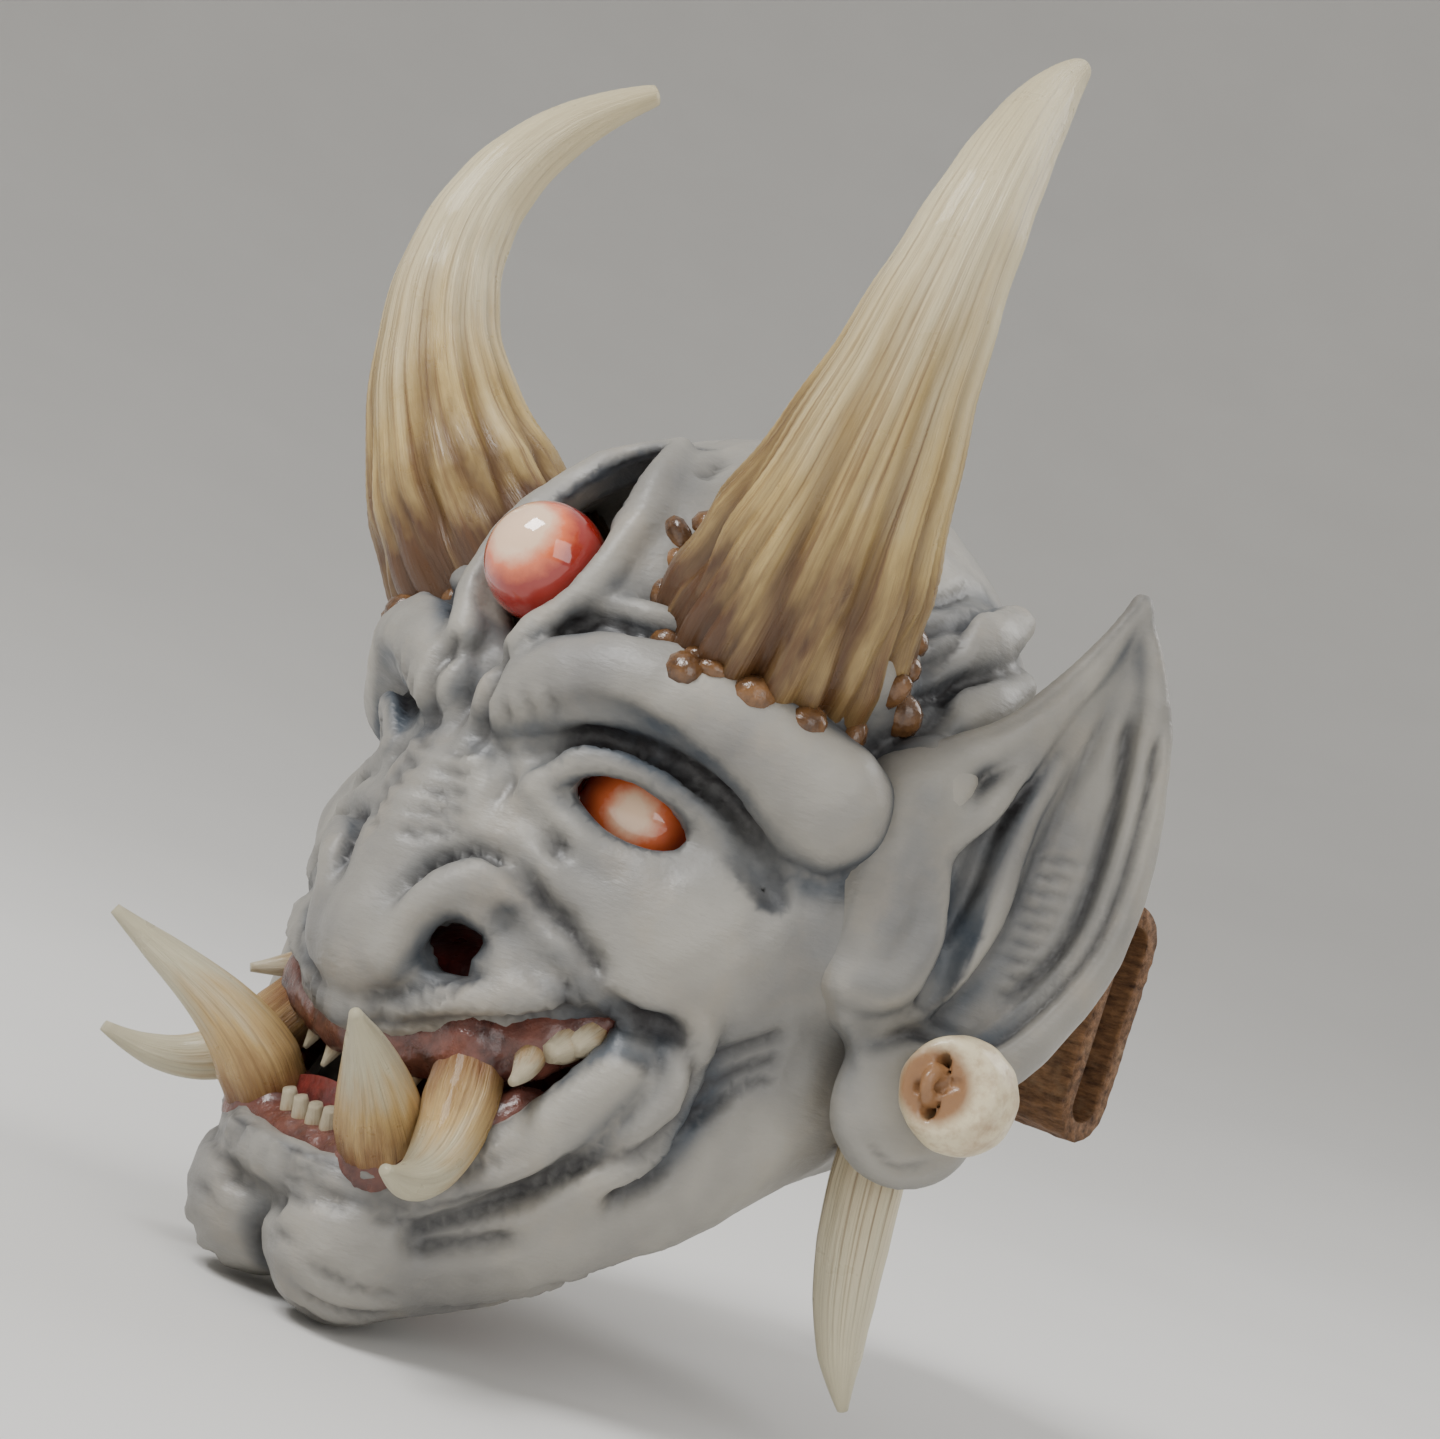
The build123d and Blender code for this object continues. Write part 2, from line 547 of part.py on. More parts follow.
peg_rows = {
    "upper_gum_spikes": (upper, SPIKE_ON_GUM, SPIKE_RADIUS, SPIKE_LENGTH, True),
    "lower_front_teeth": (lower, INCISOR_ON_GUM, INCISOR_RADIUS, INCISOR_LENGTH, False),
    "left_molars": (upper, MOLAR_ON_GUM, MOLAR_RADIUS, MOLAR_LENGTH, True),
}
left_pegs = {name: peg_row(*row) for name, row in peg_rows.items()}
for row in peg_rows.values():
    tooth_sockets += peg_row(*row, grow=GLUE_GAP)
for socket in tooth_sockets:
    for tool in (socket, other_side(socket)):
        upper_gum = upper_gum - tool
        lower_gum = lower_gum - tool

# ---- strap sleeve ----------------------------------------------------------------------------------
sleeve_section = RectangleRounded(SLEEVE_DEPTH, SLEEVE_HEIGHT, SLEEVE_CORNER) - RectangleRounded(
    SLEEVE_DEPTH - 2 * SLEEVE_WALL, SLEEVE_HEIGHT - 2 * SLEEVE_WALL, SLEEVE_CORNER - SLEEVE_WALL
)
sleeve_end = Plane(origin=(-SLEEVE_LENGTH / 2, -SLEEVE_DEPTH / 2, 0), x_dir=(0, 1, 0), z_dir=(1, 0, 0))
strap_sleeve = extrude(sleeve_end * sleeve_section, SLEEVE_LENGTH)
notch = Polyline(
    (SLEEVE_LENGTH / 2 - SEAM_NOTCH, 0),
    (SLEEVE_LENGTH / 2 + 1, SEAM_NOTCH / 2),
    (SLEEVE_LENGTH / 2 + 1, -SEAM_NOTCH / 2),
    close=True,
)
notch_plane = Plane(origin=(0, -SLEEVE_DEPTH - 1, 0), x_dir=(1, 0, 0), z_dir=(0, -1, 0))
strap_sleeve -= extrude(notch_plane * make_face(notch), -(SLEEVE_WALL + 1))
sleeve_pins = []
sleeve_pin_holes = []
for side in (-1, 1):
    pin_end = Vector(side * SLEEVE_PIN_SPACING / 2, -SLEEVE_DEPTH + SLEEVE_PIN_IN_SLEEVE, 0)
    forward = Vector(0, -1, 0)
    sleeve_pins.append(rod(pin_end, forward, SLEEVE_PIN_RADIUS, SLEEVE_PIN_LENGTH))
    hole_end = pin_end - forward * GLUE_GAP
    hole = rod(hole_end, forward, SLEEVE_PIN_RADIUS + GLUE_GAP, SLEEVE_PIN_LENGTH + 2 * GLUE_GAP)
    sleeve_pin_holes.append(hole)
for hole in sleeve_pin_holes:
    strap_sleeve -= hole

# ---- head shell ------------------------------------------------------------------------------------
brow_line = [skin(across, up, lift=BROW_LIFT) for across, up in BROW_AT]
relief = []
for k in range(len(brow_line) - 1):
    relief.append(round_cone(brow_line[k], BROW_RADII[k], brow_line[k + 1], BROW_RADII[k + 1]))
relief.append(Pos(*skin(*WING_AT, lift=WING_LIFT)) * Sphere(WING_RADIUS))
relief.append(Pos(*skin(*CHEEK_AT, lift=-CHEEK_SINK)) * Sphere(CHEEK_RADIUS))
chin_lobe = (CHIN_LOBE_SPREAD, behind_muzzle(CHIN_LOBE_AT[0]), level(CHIN_LOBE_AT[1]))
relief.append(Pos(*chin_lobe) * Sphere(CHIN_LOBE_RADIUS))

head = head_form(0)
nose = [skin(*place, lift=-NOSE_SINK * radius) for place, radius in zip(NOSE_AT, NOSE_RADII)]
head += round_cone(nose[0], NOSE_RADII[0], nose[1], NOSE_RADII[1])
lip_end = skin(*LIP_END, lift=-LIP_SINK)
lip_middle = skin(*LIP_MIDDLE, lift=-LIP_SINK)
head += round_cone(lip_middle, LIP_RADIUS, lip_end, LIP_END_RADIUS)
head += round_cone(lip_middle, LIP_RADIUS, (-lip_end.X, lip_end.Y, lip_end.Z), LIP_END_RADIUS)
for bump in relief:
    head += both_sides(bump)
back_pad = Plane(
    origin=(0, -SLEEVE_DEPTH, 0), x_dir=(1, 0, 0), z_dir=(0, -1, 0)
) * RectangleRounded(BACK_PAD_WIDTH, BACK_PAD_HEIGHT, BACK_PAD_BLEND)
head += extrude(back_pad, BACK_STANDOFF + 3 * WALL)

bosses = both_sides(horn_boss) + third_cup
for boss in ear_bosses:
    bosses += both_sides(boss)
neck_low = Vector(0, HEAD_BACK, -NECK_BACK_DROP)
neck_tilt = radians(NECK_SLOPE)
neck_plane = Plane(origin=neck_low, x_dir=(1, 0, 0), z_dir=(0, sin(neck_tilt), -cos(neck_tilt)))
neck_cut = neck_plane * Box(
    3 * HEAD_HALF_WIDTH, 3 * HEAD_DEPTH, HEAD_HEIGHT, align=(Align.CENTER, Align.CENTER, Align.MIN)
)
neck_room = Box(4 * HEAD_HALF_WIDTH, NECK_REACH, 4 * HEAD_HEIGHT)
neck_room = Pos(0, HEAD_BACK + WALL - NECK_REACH / 2, 0) * neck_room
neck_cut = neck_cut & neck_room

head_shell = (head - cavity) + (bosses & horn_seat)
cuts = [third_slit, third_seat, mouth_opening, upper_groove, lower_groove, neck_cut]
nostril_in = skin(*WING_AT, lift=1.0) + Vector(*NOSTRIL_FROM_WING)
nostril = rod(nostril_in, Vector(*NOSTRIL_HEADING), NOSTRIL_RADIUS, NOSTRIL_DEPTH)
for tool in (horn_socket, horn_dowel_hole, ear, *ear_pin_holes, eye_seat, eye_opening, nostril):
    cuts += [tool, other_side(tool)]
for tool in cuts + tooth_sockets + [other_side(socket) for socket in tooth_sockets] + sleeve_pin_holes:
    head_shell = head_shell - tool
# the cuts leave crumbs smaller than a grain of sand beside the shell
head_shell = head_shell.solids().sort_by(SortBy.VOLUME)[-1]

mouth_lining = (lining_outer & lining_room) - lining_inner
for tool in (eye_seat, other_side(eye_seat), upper_groove, lower_groove):
    mouth_lining = mouth_lining - tool
for socket in tooth_sockets:
    mouth_lining = mouth_lining - socket - other_side(socket)
tongue = Pos(*tongue_middle) * Cylinder(TONGUE_SIZE[1], 2 * TONGUE_SIZE[0])
tongue = fillet(tongue.edges(), TONGUE_EDGE) & lining_inner
tongue = tongue - lower_groove
for socket in tooth_sockets:
    tongue = tongue - socket - other_side(socket)

# ---- writing the parts -----------------------------------------------------------------------------
parts = {
    "head_shell": head_shell,
    "left_horn": horn,
    "right_horn": other_side(horn),
    "horn_dowels": [horn_dowel, other_side(horn_dowel)],
    "left_eyeball": eyeball,
    "right_eyeball": other_side(eyeball),
    "third_eyeball": third_eye,
    "mouth_lining": mouth_lining,
    "tongue": tongue,
    "upper_gum": upper_gum,
    "lower_gum": lower_gum,
    "left_ear": ear,
    "right_ear": other_side(ear),
    "ear_pins": ear_pins + [other_side(pin) for pin in ear_pins],
    "left_ear_tusk": ear_tusk,
    "right_ear_tusk": other_side(ear_tusk),
    "left_root_knob": root_knob,
    "right_root_knob": other_side(root_knob),
    "strap_sleeve": strap_sleeve,
    "sleeve_pins": sleeve_pins,
}
for name, tooth in left_teeth.items():
    parts[name] = tooth
    parts[name.replace("left", "right")] = other_side(tooth)
for name, row in left_pegs.items():
    mirrored = [other_side(tooth) for tooth in row]
    if "left" in name:
        parts[name] = row
        parts[name.replace("left", "right")] = mirrored
    else:
        parts[name] = row + mirrored
for name, shape in parts.items():
    pieces = shape if isinstance(shape, list) else [shape]
    solids = [solid for piece in pieces for solid in piece.solids()]
    export_step(solids[0] if len(solids) == 1 else Compound(children=solids), f"parts/{name}.step")
    print(name, len(solids), round(sum(solid.volume for solid in solids), 1))
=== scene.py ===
import logging
import math
from dataclasses import dataclass, field
from enum import Enum
from typing import Callable, Iterable, Optional, Sequence

import bpy
import numpy as np
from mathutils import Matrix, Vector


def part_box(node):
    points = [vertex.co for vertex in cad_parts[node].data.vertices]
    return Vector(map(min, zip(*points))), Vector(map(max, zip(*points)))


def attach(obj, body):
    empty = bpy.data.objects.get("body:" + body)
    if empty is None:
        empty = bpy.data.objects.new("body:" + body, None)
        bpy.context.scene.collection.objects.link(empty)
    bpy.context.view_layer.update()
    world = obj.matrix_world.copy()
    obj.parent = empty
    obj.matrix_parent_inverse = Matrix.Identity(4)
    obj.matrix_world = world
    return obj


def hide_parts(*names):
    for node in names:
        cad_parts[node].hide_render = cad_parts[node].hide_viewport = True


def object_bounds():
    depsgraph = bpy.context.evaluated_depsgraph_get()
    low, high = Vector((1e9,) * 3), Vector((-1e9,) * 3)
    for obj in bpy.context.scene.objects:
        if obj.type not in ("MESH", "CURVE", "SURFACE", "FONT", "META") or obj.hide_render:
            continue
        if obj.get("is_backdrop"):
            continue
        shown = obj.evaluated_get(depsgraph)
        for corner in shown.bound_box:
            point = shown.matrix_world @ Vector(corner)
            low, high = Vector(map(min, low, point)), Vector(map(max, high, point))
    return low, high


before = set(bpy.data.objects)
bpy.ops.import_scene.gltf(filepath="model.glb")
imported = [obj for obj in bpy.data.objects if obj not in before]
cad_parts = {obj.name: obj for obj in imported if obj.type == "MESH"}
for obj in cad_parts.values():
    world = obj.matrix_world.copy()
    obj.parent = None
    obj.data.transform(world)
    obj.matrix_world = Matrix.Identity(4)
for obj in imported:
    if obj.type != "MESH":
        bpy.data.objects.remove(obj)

logging.basicConfig(level=logging.INFO, format="%(message)s")
log = logging.getLogger("demon_head")

MM = 0.001                     # the sculpting below is in millimetres, the scene in metres
FAR = 25.0                     # clay distance (mm) where nothing has been laid yet
ROOT_BODY = "mask"

FURROW_REACH = 3.2             # a furrow is felt this many of its widths away
FURROW_BANK = 0.28             # height of the bank beside it, as a share of its depth
BANK_PLACE = 2.0               # where the bank runs, in furrow widths
END_FADE = 4.0                 # a furrow fades in over this many of its widths at its ends
LEAST_FADE = 0.25              # what is left of it at its very end
STAIN_WIDTH = 0.8              # width of the stain, in furrow widths
CLOSE_SHELTER = 1.6            # mm out at which a crevice is felt, for the painted shade in crevices
WIDE_SHELTER = 5.0             # mm out at which a fold is felt, for the painted blue-grey shade in folds

Point = Sequence[float]


class Side(Enum):
    """The mask's own left and right."""

    LEFT = 1
    RIGHT = -1

    @property
    def word(self) -> str:
        """The side's word in node and piece names."""
        return self.name.lower()


class Tusk(Enum):
    """The curved teeth that stand out of the gums."""

    LOWER = "lower"
    UPPER = "upper"
    CANINE = "canine"


# ---------------------------------------------------------------------------------------------------
# Curves
# ---------------------------------------------------------------------------------------------------
def smooth_line(points: Sequence[Point], count: int) -> np.ndarray:
    """Points on a smooth line through the given ones.

    Args:
        points: Points that the line passes through.
        count: How many points are wanted.

    Returns:
        An array of count points, evenly spread over the given stretches.
    """
    knots = np.asarray(points, float)
    if len(knots) < 3:
        share = np.linspace(0, 1, count)[:, None]
        return knots[0] * (1 - share) + knots[-1] * share
    ends = np.vstack([2 * knots[0] - knots[1], knots, 2 * knots[-1] - knots[-2]])
    line = []
    for place in np.linspace(0, len(knots) - 1, count):
        step = min(int(place), len(knots) - 2)
        t = place - step
        a, b, c, d = ends[step:step + 4]
        bend = 2 * a - 5 * b + 4 * c - d
        line.append(0.5 * (2 * b + (c - a) * t + bend * t**2 + (3 * b - a - 3 * c + d) * t**3))
    return np.array(line)


def bezier_line(points: Sequence[Point], count: int) -> np.ndarray:
    """Points on a curve with four control points.

    Args:
        points: The four control points.
        count: How many points are wanted.

    Returns:
        An array of count points.
    """
    a, b, c, d = np.asarray(points, float)
    t = np.linspace(0, 1, count)[:, None]
    s = 1 - t
    return a * s**3 + 3 * b * s * s * t + 3 * c * s * t * t + d * t**3


def taper(radii: Sequence[float], count: int) -> np.ndarray:
    """Radii spread evenly along a line.

    Args:
        radii: Radii at even steps.
        count: How many are wanted.

    Returns:
        An array of count radii.
    """
    return np.interp(np.linspace(0, 1, count), np.linspace(0, 1, len(radii)), radii)


def distance_to_line(points: np.ndarray, line: np.ndarray) -> np.ndarray:
    """How far points are from a line of straight runs.

    Args:
        points: The points, one a row.
        line: The line's points, one a row.

    Returns:
        One distance a point.
    """
    best = np.full(len(points), 1e9)
    for start, end in zip(line[:-1], line[1:]):
        run = end - start
        share = np.clip((points - start) @ run / max(run @ run, 1e-9), 0, 1)
        best = np.minimum(best, np.linalg.norm(points - start - share[:, None] * run, axis=1))
    return best


# ---------------------------------------------------------------------------------------------------
# Clay: shapes laid into a grid of distances, then skinned
# ---------------------------------------------------------------------------------------------------
def smooth_min(a: np.ndarray, b: np.ndarray, soft: float) -> np.ndarray:
    """The smaller of two distances, with a fillet where they meet.

    Args:
        a: Distances to the first shape.
        b: Distances to the second.
        soft: Width of the fillet.

    Returns:
        Distances to the two joined.
    """
    share = np.clip(0.5 + 0.5 * (b - a) / soft, 0, 1)
    return b + (a - b) * share - soft * share * (1 - share)


@dataclass
class Ball:
    """A lump of clay with three radii."""

    middle: Point
    radii: Point
    turn: Point = (0.0, 0.0, 0.0)

    def corners(self) -> tuple[np.ndarray, np.ndarray]:
        """The lowest and highest corners that it can reach."""
        reach = np.full(3, max(self.radii)) if any(self.turn) else np.asarray(self.radii)
        return np.asarray(self.middle) - reach, np.asarray(self.middle) + reach

    def distance(self, x: np.ndarray, y: np.ndarray, z: np.ndarray) -> np.ndarray:
        """Signed distances from its skin.

        Args:
            x: Grid of X.
            y: Grid of Y.
            z: Grid of Z.

        Returns:
            A grid of distances, negative inside.
        """
        local = [x - self.middle[0], y - self.middle[1], z - self.middle[2]]
        if any(self.turn):
            about_x, about_y, about_z = np.radians(self.turn)
            spin = Matrix.Rotation(about_z, 3, "Z") @ Matrix.Rotation(about_y, 3, "Y")
            spin = np.array(spin @ Matrix.Rotation(about_x, 3, "X"))
            local = [sum(local[j] * spin[j, i] for j in range(3)) for i in range(3)]
        near = np.sqrt(sum((part / r) ** 2 for part, r in zip(local, self.radii)))
        steep = np.sqrt(sum((part / r**2) ** 2 for part, r in zip(local, self.radii)))
        return near * (near - 1) / np.maximum(steep, 1e-6)


@dataclass
class Roll:
    """A rolled sausage of clay along a smooth line."""

    points: Sequence[Point]
    radii: Sequence[float]

    def __post_init__(self) -> None:
        """Spread stations along the line."""
        count = 4 * (len(self.points) - 1) + 1
        self.line = smooth_line(self.points, count)
        self.thick = taper(self.radii, count)

    def corners(self) -> tuple[np.ndarray, np.ndarray]:
        """The lowest and highest corners that it can reach."""
        thick = self.thick[:, None]
        return (self.line - thick).min(0), (self.line + thick).max(0)

    def distance(self, x: np.ndarray, y: np.ndarray, z: np.ndarray) -> np.ndarray:
        """Signed distances from its skin.

        Args:
            x: Grid of X.
            y: Grid of Y.
            z: Grid of Z.

        Returns:
            A grid of distances, negative inside.
        """
        best = None
        for k in range(len(self.line) - 1):
            start, run = self.line[k], self.line[k + 1] - self.line[k]
            px, py, pz = x - start[0], y - start[1], z - start[2]
            share = np.clip((px * run[0] + py * run[1] + pz * run[2]) / max(run @ run, 1e-9), 0, 1)
            thick = self.thick[k] + (self.thick[k + 1] - self.thick[k]) * share
            away = [px - share * run[0], py - share * run[1], pz - share * run[2]]
            away = np.sqrt(sum(part**2 for part in away)) - thick
            best = away if best is None else np.minimum(best, away)
        return best


@dataclass
class Slab:
    """A block with rounded edges."""

    middle: Point
    half: Point
    edge: float

    def corners(self) -> tuple[np.ndarray, np.ndarray]:
        """The lowest and highest corners that it can reach."""
        return np.asarray(self.middle) - self.half, np.asarray(self.middle) + self.half

    def distance(self, x: np.ndarray, y: np.ndarray, z: np.ndarray) -> np.ndarray:
        """Signed distances from its skin.

        Args:
            x: Grid of X.
            y: Grid of Y.
            z: Grid of Z.

        Returns:
            A grid of distances, negative inside.
        """
        parts = [np.abs(g - m) - h + self.edge for g, m, h in zip((x, y, z), self.middle, self.half)]
        outside = np.sqrt(sum(np.maximum(part, 0) ** 2 for part in parts))
        inside = np.minimum(np.maximum(np.maximum(parts[0], parts[1]), parts[2]), 0)
        return outside + inside - self.edge


@dataclass
class Region:
    """A space given by its own rule."""

    low: Point
    high: Point
    rule: Callable[[np.ndarray, np.ndarray, np.ndarray], np.ndarray]

    def corners(self) -> tuple[np.ndarray, np.ndarray]:
        """The lowest and highest corners that it can reach."""
        return np.asarray(self.low, float), np.asarray(self.high, float)

    def distance(self, x: np.ndarray, y: np.ndarray, z: np.ndarray) -> np.ndarray:
        """Signed distances by its rule.

        Args:
            x: Grid of X.
            y: Grid of Y.
            z: Grid of Z.

        Returns:
            A grid of distances, negative inside.
        """
        return self.rule(x, y, z)


class Clay:
    """A grid of signed distances that shapes are laid into and cut out of."""

    def __init__(self, low: Point, high: Point, step: float) -> None:
        """Start empty.

        Args:
            low: The grid's lowest corner.
            high: Its highest corner.
            step: Its pitch.
        """
        self.low = np.asarray(low, float)
        self.step = step
        self.size = np.ceil((np.asarray(high, float) - self.low) / step).astype(int) + 1
        self.grid = np.full(self.size, FAR, np.float32)

    def _work(self, shape: object, margin: float,
              join: Callable[[np.ndarray, np.ndarray], np.ndarray]) -> None:
        """Change the grid round a shape.

        Args:
            shape: The shape.
            margin: How far round it the grid is touched.
            join: Gives the new distances from the old ones and the shape's.
        """
        low, high = shape.corners()
        first = np.maximum(0, np.floor((low - margin - self.low) / self.step).astype(int))
        last = np.minimum(self.size, np.ceil((high + margin - self.low) / self.step).astype(int) + 1)
        if (last <= first).any():
            return
        span = tuple(slice(a, b) for a, b in zip(first, last))
        axes = [self.low[k] + self.step * np.arange(first[k], last[k]) for k in range(3)]
        away = shape.distance(axes[0][:, None, None], axes[1][None, :, None], axes[2][None, None, :])
        self.grid[span] = join(self.grid[span], away.astype(np.float32))

    def add(self, shape: object, soft: float = 2.0) -> None:
        """Lay a shape on.

        Args:
            shape: The shape.
            soft: Width of the fillet round it.
        """
        self._work(shape, soft + 6, lambda old, new: smooth_min(old, new, soft))

    def cut(self, shape: object, soft: float = 1.0) -> None:
        """Cut a shape out.

        Args:
            shape: The shape.
            soft: Width of the rounding at the cut's edge.
        """
        self._work(shape, soft + 2, lambda old, new: -smooth_min(-old, new, soft))

    def read(self, points: np.ndarray) -> np.ndarray:
        """Distances at any points.

        Args:
            points: The points, one a row.

        Returns:
            One distance a point.
        """
        place = np.clip((points - self.low) / self.step, 0, np.array(self.grid.shape) - 1.001)
        cell = place.astype(int)
        part = place - cell
        total = np.zeros(len(points))
        for corner in np.ndindex(2, 2, 2):
            weight = np.prod(np.where(corner, part, 1 - part), axis=1)
            total += weight * self.grid[tuple((cell + corner).T)]
        return total

    def slope(self, points: np.ndarray) -> np.ndarray:
        """The outward direction at any points.

        Args:
            points: The points, one a row.

        Returns:
            Unit vectors, one a row.
        """
        reach = np.eye(3) * self.step * 0.6
        steep = np.stack([self.read(points + way) - self.read(points - way) for way in reach], axis=1)
        return steep / np.maximum(np.linalg.norm(steep, axis=1, keepdims=True), 1e-9)

    def mirrored(self) -> "Clay":
        """The clay with its left half repeated on the right."""
        middle = int(round(-self.low[0] / self.step))
        half = self.grid[middle:]
        whole = Clay.__new__(Clay)
        whole.step = self.step
        whole.grid = np.concatenate([half[:0:-1], half])
        whole.size = np.array(whole.grid.shape)
        whole.low = np.array([-(len(half) - 1) * self.step, self.low[1], self.low[2]])
        return whole

    def skinned(self) -> tuple[np.ndarray, np.ndarray]:
        """The clay's surface.

        Returns:
            Its points, and its four-sided faces with their normals outward.
        """
        inside = self.grid < 0
        cells_high = np.array(self.grid.shape) - 1
        corners = list(np.ndindex(2, 2, 2))

        def at(grid: np.ndarray, corner: tuple[int, int, int]) -> np.ndarray:
            """The grid as seen from one corner of each cell."""
            return grid[tuple(slice(c, n + c) for c, n in zip(corner, cells_high))]

        filled = sum(at(inside, corner).astype(np.int8) for corner in corners)
        active = (filled > 0) & (filled < 8)
        cells = np.argwhere(active)
        number = np.full(active.shape, -1, np.int64)
        number[active] = np.arange(len(cells))
        values = {corner: at(self.grid, corner)[active].astype(float) for corner in corners}
        total = np.zeros((len(cells), 3))
        count = np.zeros(len(cells))
        for axis in range(3):
            for corner in corners:
                if corner[axis]:
                    continue
                far = tuple(1 if k == axis else c for k, c in enumerate(corner))
                near_value, far_value = values[corner], values[far]
                crossed = (near_value < 0) != (far_value < 0)
                gap = np.where(crossed, near_value - far_value, 1)
                point = np.tile(np.array(corner, float), (len(cells), 1))
                point[:, axis] += np.where(crossed, near_value / gap, 0)
                total += point * crossed[:, None]
                count += crossed
        points = self.low + self.step * (cells + total / count[:, None])
        faces = []
        for axis in range(3):
            side, other = [(1, 2), (2, 0), (0, 1)][axis]
            near = [slice(1, -1)] * 3
            far = [slice(1, -1)] * 3
            near[axis] = slice(0, -1)
            far[axis] = slice(1, None)
            here, there = inside[tuple(near)], inside[tuple(far)]
            edges = np.argwhere(here != there)
            base = edges.copy()
            base[:, [side, other]] += 1
            loops = []
            for back_side, back_other in ((1, 1), (0, 1), (0, 0), (1, 0)):
                cell = base.copy()
                cell[:, side] -= back_side
                cell[:, other] -= back_other
                loops.append(number[tuple(cell.T)])
            quads = np.stack(loops, axis=1)
            turned = ~here[tuple(edges.T)]
            quads[turned] = quads[turned][:, ::-1]
            faces.append(quads)
        return points, np.vstack(faces)


# ---------------------------------------------------------------------------------------------------
# Meshes
# ---------------------------------------------------------------------------------------------------
def make_piece(name: str, points: np.ndarray, faces: Iterable[Sequence[int]]) -> bpy.types.Object:
    """A new mesh object with smooth faces.

    Args:
        name: The piece's name.
        points: Its points in millimetres.
        faces: Its faces as point numbers.

    Returns:
        The object, linked into the scene.
    """
    mesh = bpy.data.meshes.new(name)
    mesh.from_pydata((np.asarray(points) * MM).tolist(), [], np.asarray(faces).tolist())
    mesh.validate()
    mesh.shade_smooth()
    piece = bpy.data.objects.new(name, mesh)
    bpy.context.scene.collection.objects.link(piece)
    return piece


def set_attribute(piece: bpy.types.Object, name: str, values: np.ndarray) -> None:
    """Store a number on each point of a piece.

    Args:
        piece: The piece.
        name: The attribute's name.
        values: One value a point.
    """
    attribute = piece.data.attributes.new(name, "FLOAT", "POINT")
    attribute.data.foreach_set("value", np.asarray(values, np.float32))


def set_direction(piece: bpy.types.Object, name: str, values: np.ndarray) -> None:
    """Store a place in a pattern on each point of a piece.

    Args:
        piece: The piece.
        name: The attribute's name.
        values: Three values a point.
    """
    attribute = piece.data.attributes.new(name, "FLOAT_VECTOR", "POINT")
    attribute.data.foreach_set("vector", np.asarray(values, np.float32).ravel())


def swept(line: np.ndarray, radius: Callable[[float, np.ndarray], np.ndarray], around: int) -> tuple:
    """A closed tube along a line, with a radius that may change round it.

    Args:
        line: The line's points.
        radius: Gives the radii for a share of the length and the angles round it.
        around: Points in each ring.

    Returns:
        Points, faces, each point's share of the length and its angle.
    """
    angles = np.linspace(0, 2 * math.pi, around, endpoint=False)
    ways = np.gradient(line, axis=0)
    ways /= np.linalg.norm(ways, axis=1, keepdims=True)
    side = np.cross(ways[0], (0.0, 1.0, 0.3))
    rings, shares = [], np.linspace(0, 1, len(line))
    for place, way, share in zip(line, ways, shares):
        side = side - way * (side @ way)
        side /= np.linalg.norm(side)
        up = np.cross(way, side)
        reach = radius(share, angles)[:, None]
        rings.append(place + reach * (np.cos(angles)[:, None] * side + np.sin(angles)[:, None] * up))
    points = np.vstack(rings + [line[:1], line[-1:]])
    faces = []
    for k in range(len(line) - 1):
        for j in range(around):
            after = (j + 1) % around
            faces.append((k * around + j, k * around + after, (k + 1) * around + after, (k + 1) * around + j))
    foot, tip = len(points) - 2, len(points) - 1
    last = (len(line) - 1) * around
    for j in range(around):
        after = (j + 1) % around
        faces.append((after, j, foot, foot))
        faces.append((last + j, last + after, tip, tip))
    faces = [tuple(dict.fromkeys(loop)) for loop in faces]
    along = np.concatenate([np.repeat(shares, around), [0.0, 1.0]])
    turn = np.concatenate([np.tile(angles, len(line)), [0.0, 0.0]])
    return points, faces, along, turn


def make_swept(name: str, sweep: tuple, groove: Optional[np.ndarray] = None) -> bpy.types.Object:
    """A piece from a swept tube, with its place along and round it stored for the finish.

    Args:
        name: The piece's name.
        sweep: What swept() gave.
        groove: How deep in a groove each point is, from 0 to 1.

    Returns:
        The piece.
    """
    points, faces, along, turn = sweep
    mesh = bpy.data.meshes.new(name)
    mesh.from_pydata((points * MM).tolist(), [], faces)
    mesh.validate()
    mesh.shade_smooth()
    piece = bpy.data.objects.new(name, mesh)
    bpy.context.scene.collection.objects.link(piece)
    set_attribute(piece, "along", along)
    set_attribute(piece, "groove", np.zeros(len(along)) if groove is None else groove)
    length = np.linalg.norm(np.diff(points[:-2], axis=0), axis=1).max()
    place = np.stack([np.cos(turn), np.sin(turn), along * max(length, 1.0)], axis=1)
    set_direction(piece, "grain", place)
    return piece


def joined(name: str, pieces: Sequence[bpy.types.Object]) -> bpy.types.Object:
    """Several meshes as one piece.

    Args:
        name: The joined piece's name.
        pieces: The meshes.

    Returns:
        The piece.
    """
    with bpy.context.temp_override(active_object=pieces[0], selected_editable_objects=list(pieces)):
        bpy.ops.object.join()
    pieces[0].name = pieces[0].data.name = name
    return pieces[0]


def mirrored(piece: bpy.types.Object, name: str) -> bpy.types.Object:
    """A mirror image on the mask's right.

    Args:
        piece: The piece on the left.
        name: The new piece's name.

    Returns:
        The new piece.
    """
    mesh = piece.data.copy()
    mesh.name = name
    mesh.transform(Matrix.Scale(-1, 4, (1, 0, 0)))
    mesh.flip_normals()
    other = bpy.data.objects.new(name, mesh)
    bpy.context.scene.collection.objects.link(other)
    return other


